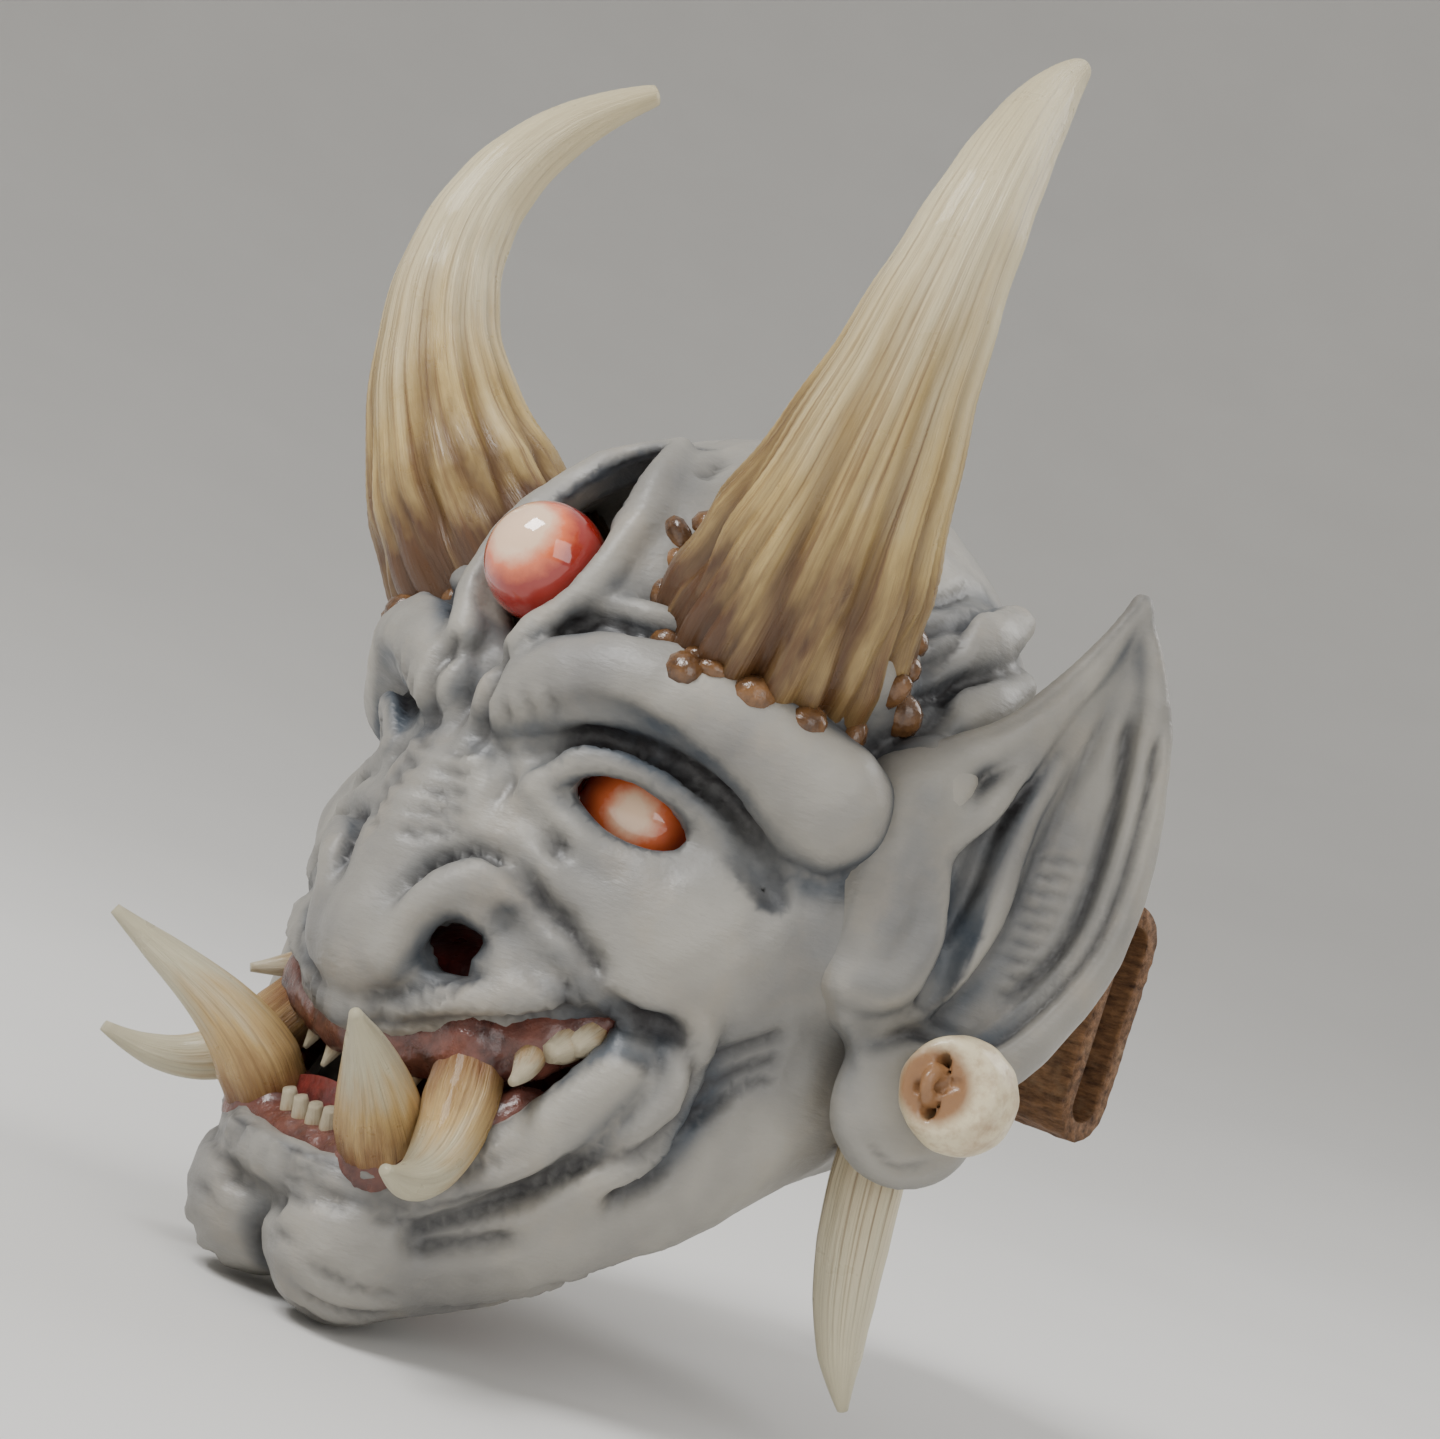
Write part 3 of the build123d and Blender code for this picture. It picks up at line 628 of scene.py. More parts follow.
def hand_over(piece: bpy.types.Object, finish: Optional[bpy.types.Material], slot: str, *nodes: str,
              body: str = ROOT_BODY) -> None:
    """Give a piece its material and body, hide the nodes that it stands for, and report it.

    Args:
        piece: The piece.
        finish: Its material, or None where it has one already.
        slot: Not used.
        nodes: The nodes that it replaces.
        body: The body that it moves with.
    """
    if finish:
        piece.data.materials.clear()
        piece.data.materials.append(finish)
    if nodes:
        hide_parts(*nodes)
    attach(piece, body)
    log.info("%s: %d faces", piece.name, len(piece.data.polygons))


def hand_over_pair(left: bpy.types.Object, finish: Optional[bpy.types.Material], slot: str, node: str,
                   hanging: bool = False) -> None:
    """Mirror a left piece to the right and hand both over.

    Args:
        left: The left piece, with left in its name.
        finish: Their material, or None where the left one has it already.
        slot: Their slot, passed on to hand_over.
        node: The left node, with left in its name.
        hanging: Whether they swing with the hanging tusks.
    """
    right = mirrored(left, left.name.replace(Side.LEFT.word, Side.RIGHT.word))
    for piece, side in ((left, Side.LEFT), (right, Side.RIGHT)):
        body = f"{side.word}_hanging_tusk" if hanging else ROOT_BODY
        hand_over(piece, finish, slot, node.replace(Side.LEFT.word, side.word), body=body)


def node_middle(node: str) -> np.ndarray:
    """The middle of a node's box in millimetres.

    Args:
        node: The node's name.

    Returns:
        The middle point.
    """
    low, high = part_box(node)
    return (np.array(low) + np.array(high)) / 2 / MM


def node_size(node: str) -> np.ndarray:
    """A node's box size in millimetres.

    Args:
        node: The node's name.

    Returns:
        Its size along X, Y and Z.
    """
    low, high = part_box(node)
    return (np.array(high) - np.array(low)) / MM


def ripple(points: np.ndarray, pitch: float, seed: float) -> np.ndarray:
    """A soft uneven pattern from -1 to 1, the same every time.

    Args:
        points: Where it is wanted, one point a row.
        pitch: The size of its lumps.
        seed: Shifts the pattern.

    Returns:
        One value a point.
    """
    total = np.zeros(len(points))
    for k in range(1, 5):
        turn = seed * 1.7 + k * 2.4
        way = np.array([math.cos(turn), math.sin(turn * 1.3), math.cos(turn * 0.7 + 1)])
        wave = points @ way / pitch * (1 + 0.23 * k) + seed * k
        bend = np.sin(points @ way[::-1] / pitch * 0.7 + seed)
        total += np.sin(wave * 2 * math.pi / 2 + 1.3 * bend)
    return total / 4


# ---------------------------------------------------------------------------------------------------
# Finishes
# ---------------------------------------------------------------------------------------------------
class Paint:
    """A material and the nodes that are being wired into it."""

    def __init__(self, name: str, roughness: float, **shader: float) -> None:
        """Start a material on the standard shader.

        Args:
            name: The material's name.
            roughness: The shader's own roughness.
            shader: Other values set on the shader, by socket name.
        """
        self.material = bpy.data.materials.new(name)
        self.material.use_nodes = True
        self.tree = self.material.node_tree
        self.shader = self.tree.nodes["Principled BSDF"]
        self.shader.inputs["Roughness"].default_value = roughness
        for socket, value in shader.items():
            self.shader.inputs[socket.replace("_", " ")].default_value = value
        self.place = self.tree.nodes.new("ShaderNodeTexCoord").outputs["Object"]

    def link(self, start: object, end: object) -> None:
        """Wire two sockets."""
        self.tree.links.new(start, end)

    def stored(self, name: str, vector: bool = False) -> object:
        """The socket that reads a stored attribute.

        Args:
            name: The attribute's name.
            vector: Whether the three values are wanted.

        Returns:
            The output socket.
        """
        node = self.tree.nodes.new("ShaderNodeAttribute")
        node.attribute_name = name
        return node.outputs["Vector" if vector else "Fac"]

    def stretched(self, source: object, scale: Point) -> object:
        """A place scaled differently along its axes.

        Args:
            source: The place's socket.
            scale: Scale along each axis.

        Returns:
            The output socket.
        """
        node = self.tree.nodes.new("ShaderNodeMapping")
        node.inputs["Scale"].default_value = scale
        self.link(source, node.inputs["Vector"])
        return node.outputs["Vector"]

    def speckle(self, scale: float, detail: float = 4.0, rough: float = 0.55,
                source: object = None) -> object:
        """A noise pattern.

        Args:
            scale: Its scale; on Object coordinates, lumps a metre.
            detail: How many finer layers it has.
            rough: How strong those layers are.
            source: The place it reads, or None for Object coordinates.

        Returns:
            The output socket.
        """
        node = self.tree.nodes.new("ShaderNodeTexNoise")
        node.inputs["Scale"].default_value = scale
        node.inputs["Detail"].default_value = detail
        node.inputs["Roughness"].default_value = rough
        self.link(source or self.place, node.inputs["Vector"])
        return node.outputs["Fac"]

    def cells(self, scale: float, source: object = None) -> object:
        """Distances to scattered points, for pits and pores.

        Args:
            scale: Its scale; on Object coordinates, cells a metre.
            source: The place it reads, or None for Object coordinates.

        Returns:
            The output socket.
        """
        node = self.tree.nodes.new("ShaderNodeTexVoronoi")
        node.inputs["Scale"].default_value = scale
        self.link(source or self.place, node.inputs["Vector"])
        return node.outputs["Distance"]

    def spread(self, source: object, low: float, high: float, start: float = 0.0, end: float = 1.0) -> object:
        """Stretch part of a value's range.

        Args:
            source: The value's socket.
            low: The value that becomes start.
            high: The value that becomes end.
            start: What low becomes.
            end: What high becomes.

        Returns:
            The output socket.
        """
        node = self.tree.nodes.new("ShaderNodeMapRange")
        for socket, value in zip(("From Min", "From Max", "To Min", "To Max"), (low, high, start, end)):
            node.inputs[socket].default_value = value
        self.link(source, node.inputs["Value"])
        return node.outputs["Result"]

    def sums(self, operation: str, first: object, second: object) -> object:
        """Join two values.

        Args:
            operation: The maths node's operation.
            first: A socket or number.
            second: A socket or number.

        Returns:
            The output socket.
        """
        node = self.tree.nodes.new("ShaderNodeMath")
        node.operation = operation
        for socket, value in zip(node.inputs, (first, second)):
            if isinstance(value, (int, float)):
                socket.default_value = value
            else:
                self.link(value, socket)
        return node.outputs[0]

    def shades(self, source: object, stops: Sequence[tuple[float, Point]]) -> object:
        """Colours along a value.

        Args:
            source: The value's socket.
            stops: Places from 0 to 1 and their colours.

        Returns:
            The output socket.
        """
        node = self.tree.nodes.new("ShaderNodeValToRGB")
        ramp = node.color_ramp
        for k, (place, colour) in enumerate(stops):
            stop = ramp.elements[k] if k < 2 else ramp.elements.new(place)
            stop.position = place
            stop.color = (*colour, 1)
        self.link(source, node.inputs["Fac"])
        return node.outputs["Color"]

    def laid_over(self, share: object, under: object, over: object, manner: str = "MIX") -> object:
        """One colour over another.

        Args:
            share: How much of the upper colour shows.
            under: The lower colour, a socket or a colour.
            over: The upper colour, a socket or a colour.
            manner: The mix node's blending.

        Returns:
            The output socket.
        """
        node = self.tree.nodes.new("ShaderNodeMix")
        node.data_type = "RGBA"
        node.blend_type = manner
        for socket, value in ((node.inputs["Factor"], share), (node.inputs["A"], under),
                              (node.inputs["B"], over)):
            target = socket
            if node.inputs.find(socket.name) >= 0 and socket.name in ("A", "B"):
                target = node.inputs[6 if socket.name == "A" else 7]
            elif socket.name == "Factor":
                target = node.inputs[0]
            if isinstance(value, (int, float)):
                target.default_value = value
            elif isinstance(value, tuple):
                target.default_value = (*value, 1)
            else:
                self.link(value, target)
        return node.outputs[2]

    def relief(self, height: object, depth: float, strength: float = 1.0, under: object = None) -> object:
        """Fine relief on the surface.

        Args:
            height: The height's socket.
            depth: The relief's depth in metres.
            strength: How strongly it shows.
            under: Another relief that this one is laid on.

        Returns:
            The normal's socket.
        """
        node = self.tree.nodes.new("ShaderNodeBump")
        node.inputs["Distance"].default_value = depth
        node.inputs["Strength"].default_value = strength
        self.link(height, node.inputs["Height"])
        if under is not None:
            self.link(under, node.inputs["Normal"])
        return node.outputs["Normal"]

    def done(self, colour: object, roughness: object, normal: object) -> bpy.types.Material:
        """Wire the finished patterns to the shader.

        Args:
            colour: The colour's socket.
            roughness: The roughness's socket.
            normal: The normal's socket.

        Returns:
            The material.
        """
        self.link(colour, self.shader.inputs["Base Color"])
        self.link(roughness, self.shader.inputs["Roughness"])
        self.link(normal, self.shader.inputs["Normal"])
        return self.material


@dataclass(frozen=True)
class PaintedSkin:
    """Cast resin skin: warm pale grey, painted blue-grey shade in its folds, dark stain along its creases and
    painted shade in its crevices.
    """

    pale: Point = (0.34, 0.322, 0.283)
    grey: Point = (0.200, 0.194, 0.184)
    blue: Point = (0.058, 0.072, 0.090)
    beige: Point = (0.36, 0.31, 0.24)
    wash: Point = (0.020, 0.018, 0.019)

    def made(self) -> bpy.types.Material:
        """The finished material."""
        paint = Paint("painted_skin", 0.45, Specular_IOR_Level=0.45)
        cloud = paint.spread(paint.speckle(55, 3), 0.35, 0.68)
        colour = paint.laid_over(cloud, self.pale, self.grey)
        warm = paint.spread(paint.speckle(120, 4, 0.6), 0.52, 0.75, 0.0, 0.5)
        colour = paint.laid_over(warm, colour, self.beige)
        fine = paint.spread(paint.speckle(900, 5, 0.6), 0.3, 0.75, 0.9, 1.05)
        # painted shade: broad folds turn blue-grey by how enclosed they are, with a little of the crease
        # stain
        tint = paint.sums("MULTIPLY", paint.stored("tint"),
                          paint.spread(paint.speckle(90, 4), 0.3, 0.62, 0.45, 1.0))
        colour = paint.laid_over(tint, colour, self.blue)
        bright = paint.shades(fine, ((0.0, (0.72, 0.72, 0.72)), (1.0, (1, 1, 1))))
        colour = paint.laid_over(0.55, colour, bright, "MULTIPLY")
        broken = paint.spread(paint.speckle(700, 4, 0.6), 0.25, 0.6, 0.65, 1.0)
        # crease stain plus painted shade: the dark colour goes along the furrows and into crevices, more the
        # more enclosed they are
        wash = paint.sums("MULTIPLY", paint.stored("wash"), broken)
        colour = paint.laid_over(wash, colour, self.wash)
        roughness = paint.spread(paint.speckle(260, 4), 0.3, 0.7, 0.34, 0.56)
        pores = paint.relief(paint.cells(1500), 0.00008, 0.25)
        lines = paint.stretched(paint.place, (1, 1, 3.2))
        normal = paint.relief(paint.speckle(420, 5, 0.62, lines), 0.0003, 0.4, pores)
        return paint.done(colour, roughness, normal)


@dataclass(frozen=True)
class StainedHorn:
    """Horn or tusk: ivory at the tip, ochre, then brown at the root, streaked along its length."""

    name: str = "stained_horn"
    tip: Point = (0.70, 0.60, 0.37)
    middle: Point = (0.52, 0.37, 0.145)
    root: Point = (0.085, 0.036, 0.012)
    streak: Point = (0.13, 0.055, 0.016)
    amber_end: float = 0.22
    streaks: float = 0.8

    def made(self) -> bpy.types.Material:
        """The finished material."""
        paint = Paint(self.name, 0.35, Specular_IOR_Level=0.5, Coat_Weight=0.15)
        grain = paint.stored("grain", vector=True)
        uneven = paint.spread(paint.speckle(2.2, 4, 0.6, grain), 0.3, 0.7, -0.14, 0.14)
        along = paint.sums("ADD", paint.stored("along"), uneven)
        stops = (
            (0.0, self.root),
            (self.amber_end, self.middle),
            (min(self.amber_end + 0.33, 0.95), self.tip),
        )
        colour = paint.shades(along, stops)
        long_grain = paint.stretched(grain, (7, 7, 0.35))
        lines = paint.spread(paint.speckle(1.6, 5, 0.65, long_grain), 0.50, 0.66)
        fade = paint.spread(paint.stored("along"), 0.25, 0.95, self.streaks, self.streaks * 0.10)
        colour = paint.laid_over(paint.sums("MULTIPLY", lines, fade), colour, self.streak)
        # painted shade: the grooves are darkened towards the root colour, most near the root and fading up
        # the horn
        sunk = paint.sums("MULTIPLY", paint.stored("groove"),
                          paint.spread(paint.stored("along"), 0.02, 0.6, 1.0, 0.0))
        colour = paint.laid_over(paint.sums("MULTIPLY", sunk, 0.95), colour, self.root)
        roughness = paint.spread(paint.speckle(300, 3), 0.3, 0.7, 0.25, 0.45)
        normal = paint.relief(paint.speckle(2.2, 5, 0.7, long_grain), 0.0006, 0.7)
        return paint.done(colour, roughness, normal)


@dataclass(frozen=True)
class GlossyEye:
    """A glossy orange-red eye with a pale heart, drawn round the way it looks."""

    name: str
    middle: tuple
    heading: tuple
    radius: float
    heart: Point = (0.92, 0.64, 0.44)
    amber: Point = (0.80, 0.17, 0.06)
    rim: Point = (0.36, 0.022, 0.014)
    heart_size: float = 0.22

    def made(self) -> bpy.types.Material:
        """The finished material."""
        paint = Paint(self.name, 0.06, Coat_Weight=1.0, Coat_Roughness=0.03)
        node = paint.tree.nodes.new("ShaderNodeVectorMath")
        node.operation = "DISTANCE"
        front = [m + h * self.radius for m, h in zip(self.middle, self.heading)]
        paint.link(paint.place, node.inputs[0])
        node.inputs[1].default_value = [part * MM for part in front]
        reach = self.radius * MM
        away = paint.spread(node.outputs["Value"], 0.0, reach * 1.15)
        away = paint.sums("ADD", away, paint.spread(paint.speckle(500, 4), 0.3, 0.7, -0.05, 0.05))
        stops = (
            (0.0, self.heart),
            (self.heart_size, self.heart),
            (self.heart_size + 0.22, self.amber),
            (0.85, self.rim),
        )
        colour = paint.shades(away, stops)
        roughness = paint.spread(paint.speckle(800, 3), 0.3, 0.7, 0.04, 0.12)
        normal = paint.relief(paint.speckle(600, 3), 0.00008, 0.3)
        return paint.done(colour, roughness, normal)


@dataclass(frozen=True)
class WetFlesh:
    """Gum, mouth or tongue: dark red-brown, glossy and lumpy."""

    name: str
    light: Point
    dark: Point
    roughness: float = 0.3

    def made(self) -> bpy.types.Material:
        """The finished material."""
        paint = Paint(self.name, self.roughness, Coat_Weight=0.3, Coat_Roughness=0.15)
        colour = paint.shades(paint.speckle(320, 5, 0.6), ((0.3, self.dark), (0.7, self.light)))
        pits = paint.spread(paint.cells(900), 0.0, 0.5, 0.25, 0.0)
        colour = paint.laid_over(pits, colour, tuple(part * 0.3 for part in self.dark))
        roughness = paint.spread(paint.speckle(500, 4), 0.3, 0.7, self.roughness * 0.7, self.roughness * 1.4)
        normal = paint.relief(paint.speckle(700, 4), 0.0005, 0.6)
        return paint.done(colour, roughness, normal)


@dataclass(frozen=True)
class BarkLeather:
    """The strap sleeve: rough brown, fibrous along its length."""

    light: Point = (0.30, 0.15, 0.065)
    dark: Point = (0.055, 0.024, 0.011)
    dust: Point = (0.42, 0.28, 0.16)

    def made(self) -> bpy.types.Material:
        """The finished material."""
        paint = Paint("bark_leather", 0.6, Specular_IOR_Level=0.35)
        fibres = paint.stretched(paint.place, (0.25, 1, 1))
        strands = paint.speckle(950, 6, 0.7, fibres)
        colour = paint.shades(strands, ((0.32, self.dark), (0.62, self.light)))
        worn = paint.spread(paint.speckle(160, 5, 0.65), 0.55, 0.75, 0.0, 0.55)
        colour = paint.laid_over(worn, colour, self.dust)
        roughness = paint.spread(strands, 0.3, 0.7, 0.75, 0.42)
        pits = paint.relief(paint.cells(650), 0.0004, 0.5)
        return paint.done(colour, roughness, paint.relief(strands, 0.0012, 0.9, pits))


@dataclass(frozen=True)
class KnobCream:
    """The sawn root of the hanging tusk: cream with a brown bloom."""

    cream: Point = (0.66, 0.57, 0.38)
    brown: Point = (0.26, 0.13, 0.055)

    def made(self) -> bpy.types.Material:
        """The finished material."""
        paint = Paint("knob_cream", 0.35, Coat_Weight=0.2)
        bloom = paint.sums("MAXIMUM", paint.spread(paint.speckle(170, 5, 0.6), 0.55, 0.8, 0.0, 0.7),
                           paint.stored("face"))
        colour = paint.laid_over(bloom, self.cream, self.brown)
        rings = paint.spread(paint.speckle(900, 4), 0.45, 0.7, 0.0, 0.4)
        colour = paint.laid_over(rings, colour, self.brown)
        roughness = paint.spread(paint.speckle(400, 3), 0.3, 0.7, 0.28, 0.5)
        return paint.done(colour, roughness, paint.relief(paint.speckle(700, 5, 0.6), 0.0003, 0.5))


@dataclass(frozen=True)
class DarkMetal:
    """The hidden dowels and pins."""

    def made(self) -> bpy.types.Material:
        """The finished material."""
        paint = Paint("pin_steel", 0.4, Metallic=1.0)
        colour = paint.shades(paint.speckle(800, 3), ((0.3, (0.30, 0.30, 0.31)), (0.7, (0.5, 0.5, 0.5))))
        roughness = paint.spread(paint.speckle(900, 3), 0.3, 0.7, 0.3, 0.5)
        return paint.done(colour, roughness, paint.relief(paint.speckle(2000, 2), 0.00005, 0.3))


# ---------------------------------------------------------------------------------------------------
# The head
# ---------------------------------------------------------------------------------------------------
@dataclass
class Furrow:
    """One or more creases pressed into the clay, from a first line to a last one beside it."""

    first: Sequence[Point]
    last: Optional[Sequence[Point]] = None
    count: int = 1
    width: float = 0.9
    depth: float = 0.8
    stain: float = 0.8

    def lines(self) -> list[np.ndarray]:
        """The creases' own lines, evenly between the first and the last."""
        start = smooth_line(self.first, 15)
        if self.last is None:
            return [start]
        end = smooth_line(self.last, 15)
        return [start + (end - start) * share for share in np.linspace(0, 1, self.count)]


@dataclass
class Sculpted:
    """A surface taken from clay, ready for creases and stains."""

    clay: Clay
    points: np.ndarray
    faces: np.ndarray

    @classmethod
    def of(cls, clay: Clay) -> "Sculpted":
        """Skin the clay and settle the points on its surface.

        Args:
            clay: The clay.

        Returns:
            The surface.
        """
        points, faces = clay.skinned()
        for _ in range(2):
            points = points - clay.slope(points) * clay.read(points)[:, None] * 0.8
        return cls(clay, points, faces)

    def __post_init__(self) -> None:
        """Note the outward directions and start with no stain."""
        self.outward = self.clay.slope(self.points)
        self.stain = np.zeros(len(self.points))
        self.pushed = np.zeros(len(self.points))

    def crease(self, furrow: Furrow, both_sides: bool = True) -> None:
        """Press a furrow in, with a soft bank beside it and a stain along it.

        Args:
            furrow: The furrow.
            both_sides: Whether it is pressed in again as its mirror image on the right.
        """
        folded = self.points.copy()
        if both_sides:
            folded[:, 0] = np.abs(folded[:, 0])
        for line in furrow.lines():
            for _ in range(4):
                line = line - self.clay.slope(line) * self.clay.read(line)[:, None]
            reach = FURROW_REACH * furrow.width
            near = ((folded > line.min(0) - reach) & (folded < line.max(0) + reach)).all(axis=1)
            index = np.flatnonzero(near)
            if not len(index):
                continue
            away = distance_to_line(folded[index], line)
            ends = np.linalg.norm(folded[index][:, None] - line[[0, -1]][None], axis=2).min(axis=1)
            fade = np.clip(ends / (END_FADE * furrow.width), LEAST_FADE, 1)
            groove = np.exp(-((away / furrow.width) ** 2)) * fade
            bank = np.exp(-(((away - BANK_PLACE * furrow.width) / furrow.width) ** 2)) * fade
            self.pushed[index] += furrow.depth * (FURROW_BANK * bank - groove)
            stained = furrow.stain * np.exp(-((away / (STAIN_WIDTH * furrow.width)) ** 2)) * fade
            self.stain[index] = np.maximum(self.stain[index], stained)

    def roughen(self, pitch: float, height: float, seed: float) -> None:
        """Leave the marks of the maker's hand.

        Args:
            pitch: Size of the marks.
            height: Their height.
            seed: Shifts the pattern.
        """
        self.pushed += height * ripple(self.points, pitch, seed)

    def shelter(self, reach: float) -> np.ndarray:
        """How enclosed each point is by the clay round it, from 0 to 1.

        Args:
            reach: How far out the clay is felt.

        Returns:
            One value a point.
        """
        free = self.clay.read(self.points + self.outward * reach) / reach
        return np.clip(1 - free, 0, 1)

    def piece(self, name: str) -> bpy.types.Object:
        """The finished mesh with its stains and its painted shade stored on it.

        Args:
            name: The piece's name.

        Returns:
            The piece.
        """
        close = self.shelter(CLOSE_SHELTER)
        wide = self.shelter(WIDE_SHELTER)
        made = make_piece(name, self.points + self.outward * self.pushed[:, None], self.faces)
        # crease stain along the furrows plus painted shade, darker the more enclosed a crevice is
        set_attribute(made, "wash", np.clip(self.stain + 1.5 * (close - 0.18), 0, 1))
        # painted shade in broad folds by how enclosed they are, plus a little crease stain
        set_attribute(made, "tint", np.clip(2.1 * wide + 0.4 * self.stain, 0, 1))
        return made


@dataclass
class Head:
    """The hollow cast head: skull, face, sockets and neck opening. Millimetres, left side only."""

    pitch: float = 0.92
    wall: float = 3.0
    skull: tuple = ((0, -54.3, 7.0), (36.3, 39.3, 46.3))
    skull_low: tuple = ((0, -58, -6), (34.5, 38, 34))
    muzzle: tuple = ((0, -77, -20), (25, 22, 28))
    jaw: tuple = ((0, -83, -40), (17.5, 17.5, 15.5))
    chin_lobe: tuple = ((7.4, -93.3, -48.0), (8.6, 8.4, 8.6))
    eye_lid: float = 1.4
    eye_almond: tuple = (6.6, 5.0, 2.75)
    eye_yaw: float = 34.0
    eye_tilt: float = 12.0
    neck_back: tuple = (-15.0, -11.0)
    neck_slope: float = 27.5
    neck_front: float = -76.4
    mouth_back: float = -69.0
    third_eye: Point = (0.0, -93.4, 24.8)
    third_eye_radius: float = 6.7
    upper_edge: tuple = ((0, -28.6), (7, -27.2), (14, -24.4), (20, -20.4), (25, -17.2))
    lower_edge: tuple = ((0, -40.4), (7, -40.2), (14, -38.0), (20, -30.5), (25, -18.6))

    def masses(self, clay: Clay) -> None:
        """Lay the skull, muzzle, cheeks and jaw."""
        clay.add(Ball(*self.skull), 1)
        clay.add(Ball(*self.skull_low), 8)
        clay.add(Ball(*self.muzzle), 8)
        clay.add(Ball(*self.jaw), 8)
        clay.add(Ball((0, -76.5, 21), (17, 17.5, 20)), 8)
        clay.add(Ball((23, -79, -9), (10.5, 10.5, 9)), 5)
        clay.add(Ball((28, -70, -4), (8.5, 12, 10)), 6)
        clay.add(Roll(((10, -88, -45), (18, -79, -38), (23, -69, -29), (25, -60, -18)), (8, 9, 9.5, 11)), 6)
        clay.add(Ball(*self.chin_lobe), 2.2)
        clay.add(Roll(((37.5, -66.5, -5), (38.3, -66.5, 15)), (5.0, 5.0)), 6)
        clay.add(Slab((0, -16.5, 0), (18, 5.5, 8), 3), 3)

    def brow(self, clay: Clay) -> None:
        """Lay the heavy brow, its ball end and the folds above it."""
        line = ((5.2, -95.0, 9.0), (11.5, -93.6, 12.6), (19.6, -89.6, 13.9), (27.2, -83.0, 12.6),
                (33.4, -76.2, 9.2))
        clay.add(Roll(line, (4.3, 4.9, 5.6, 6.3, 7.2)), 1.1)
        clay.add(Roll(((9, -92.0, 20.0), (15, -89.6, 20.8), (20.5, -85, 20.2)), (2.2, 2.6, 2.0)), 1.4)
        clay.add(Roll(((32, -66.5, 18), (35.0, -60, 24), (34, -52, 30)), (3.0, 3.4, 2.4)), 2.2)
        clay.add(Roll(((30, -64, 27), (31.5, -57, 33), (29, -49, 38)), (3.0, 3.4, 2.4)), 2.2)
        clay.add(Roll(((34.4, -64, 9), (37, -58, 14), (36.4, -50, 18)), (2.6, 3.0, 2.0)), 2.2)

    def nose(self, clay: Clay) -> None:
        """Lay the broad drooping nose and its wings."""
        clay.add(Roll(((0, -92.4, 4), (0, -94.6, -6), (0, -95, -16)), (4.8, 6.6, 7.4)), 2.5)
        clay.add(Ball((0, -96.4, -19.4), (7.4, 6.6, 6.4)), 2.5)
        clay.add(Roll(((4, -96.6, 1.5), (7.5, -95.2, -4), (11.5, -93.5, -8)), (1.9, 2.2, 2.2)), 1.6)
        clay.add(Ball((9.4, -94.0, -13.5), (4.8, 5.0, 5.0)), 1.6)
        clay.cut(Ball((11.0, -97.4, -17.2), (5.6, 4.7, 3.2), (0, 16, 38)), 1.2)
        wing = ((5.2, -99.4, -20.0), (7.4, -99.2, -14.2), (10.8, -97.0, -10.4), (14.2, -93.6, -10.6),
                (16.2, -91.0, -14.6))
        clay.add(Roll(wing, (2.6, 2.3, 2.5, 2.5, 2.0)), 1.0)

    def eye_folds(self, clay: Clay) -> None:
        """Lay the lids round the eye and the bags below it."""
        middle = node_middle("left_eyeball")
        lid = node_size("left_eyeball")[0] / 2 + self.eye_lid
        clay.add(Ball(middle, (lid, lid, lid)), 2.0)
        upper = ((12.2, -94.2, 1.6), (16, -92.6, 5.0), (21, -89.2, 6.0), (26, -84.6, 4.2), (29, -80.6, 0.4))
        clay.add(Roll(upper, (1.5, 1.8, 2.0, 1.9, 1.4)), 0.9)
        lower = ((12.2, -94.2, 0.6), (16, -92.3, -2.2), (21, -88.6, -3.6), (26, -84.2, -2.8),
                 (29, -80.6, -0.4))
        clay.add(Roll(lower, (1.4, 1.8, 2.1, 1.9, 1.4)), 0.9)
        hollow = ((12.6, -98.2, 6.6), (17, -96.0, 9.0), (23, -91.6, 8.6), (29.4, -84.6, 4.6), (33, -79, -1.5))
        clay.cut(Roll(hollow, (1.4, 2.0, 2.3, 2.1, 1.4)), 2.0)
        bag = ((12.5, -93.6, -4.0), (17, -91.4, -7.2), (23, -86.6, -8.2), (29, -80.2, -5.2),
               (32.5, -75.6, -1.0))
        clay.add(Roll(bag, (2.0, 2.6, 2.9, 2.6, 1.8)), 1.2)

    def third_eye_rim(self, clay: Clay) -> None:
        """Lay the raised almond rim round the third eye."""
        rim = ((0, -80.5, 44.0), (5.0, -86.0, 38.5), (8.2, -90.4, 30.5), (8.3, -93.8, 22.5),
               (4.4, -97.0, 14.5))
        clay.add(Roll(rim, (1.4, 2.0, 2.2, 2.2, 1.8)), 1.4)

    def horn_collar(self, clay: Clay) -> None:
        """Lay the swelling that the horn grows from."""
        clay.add(Ball((22.6, -75.6, 24.4), (13.6, 11.6, 11.0)), 4)

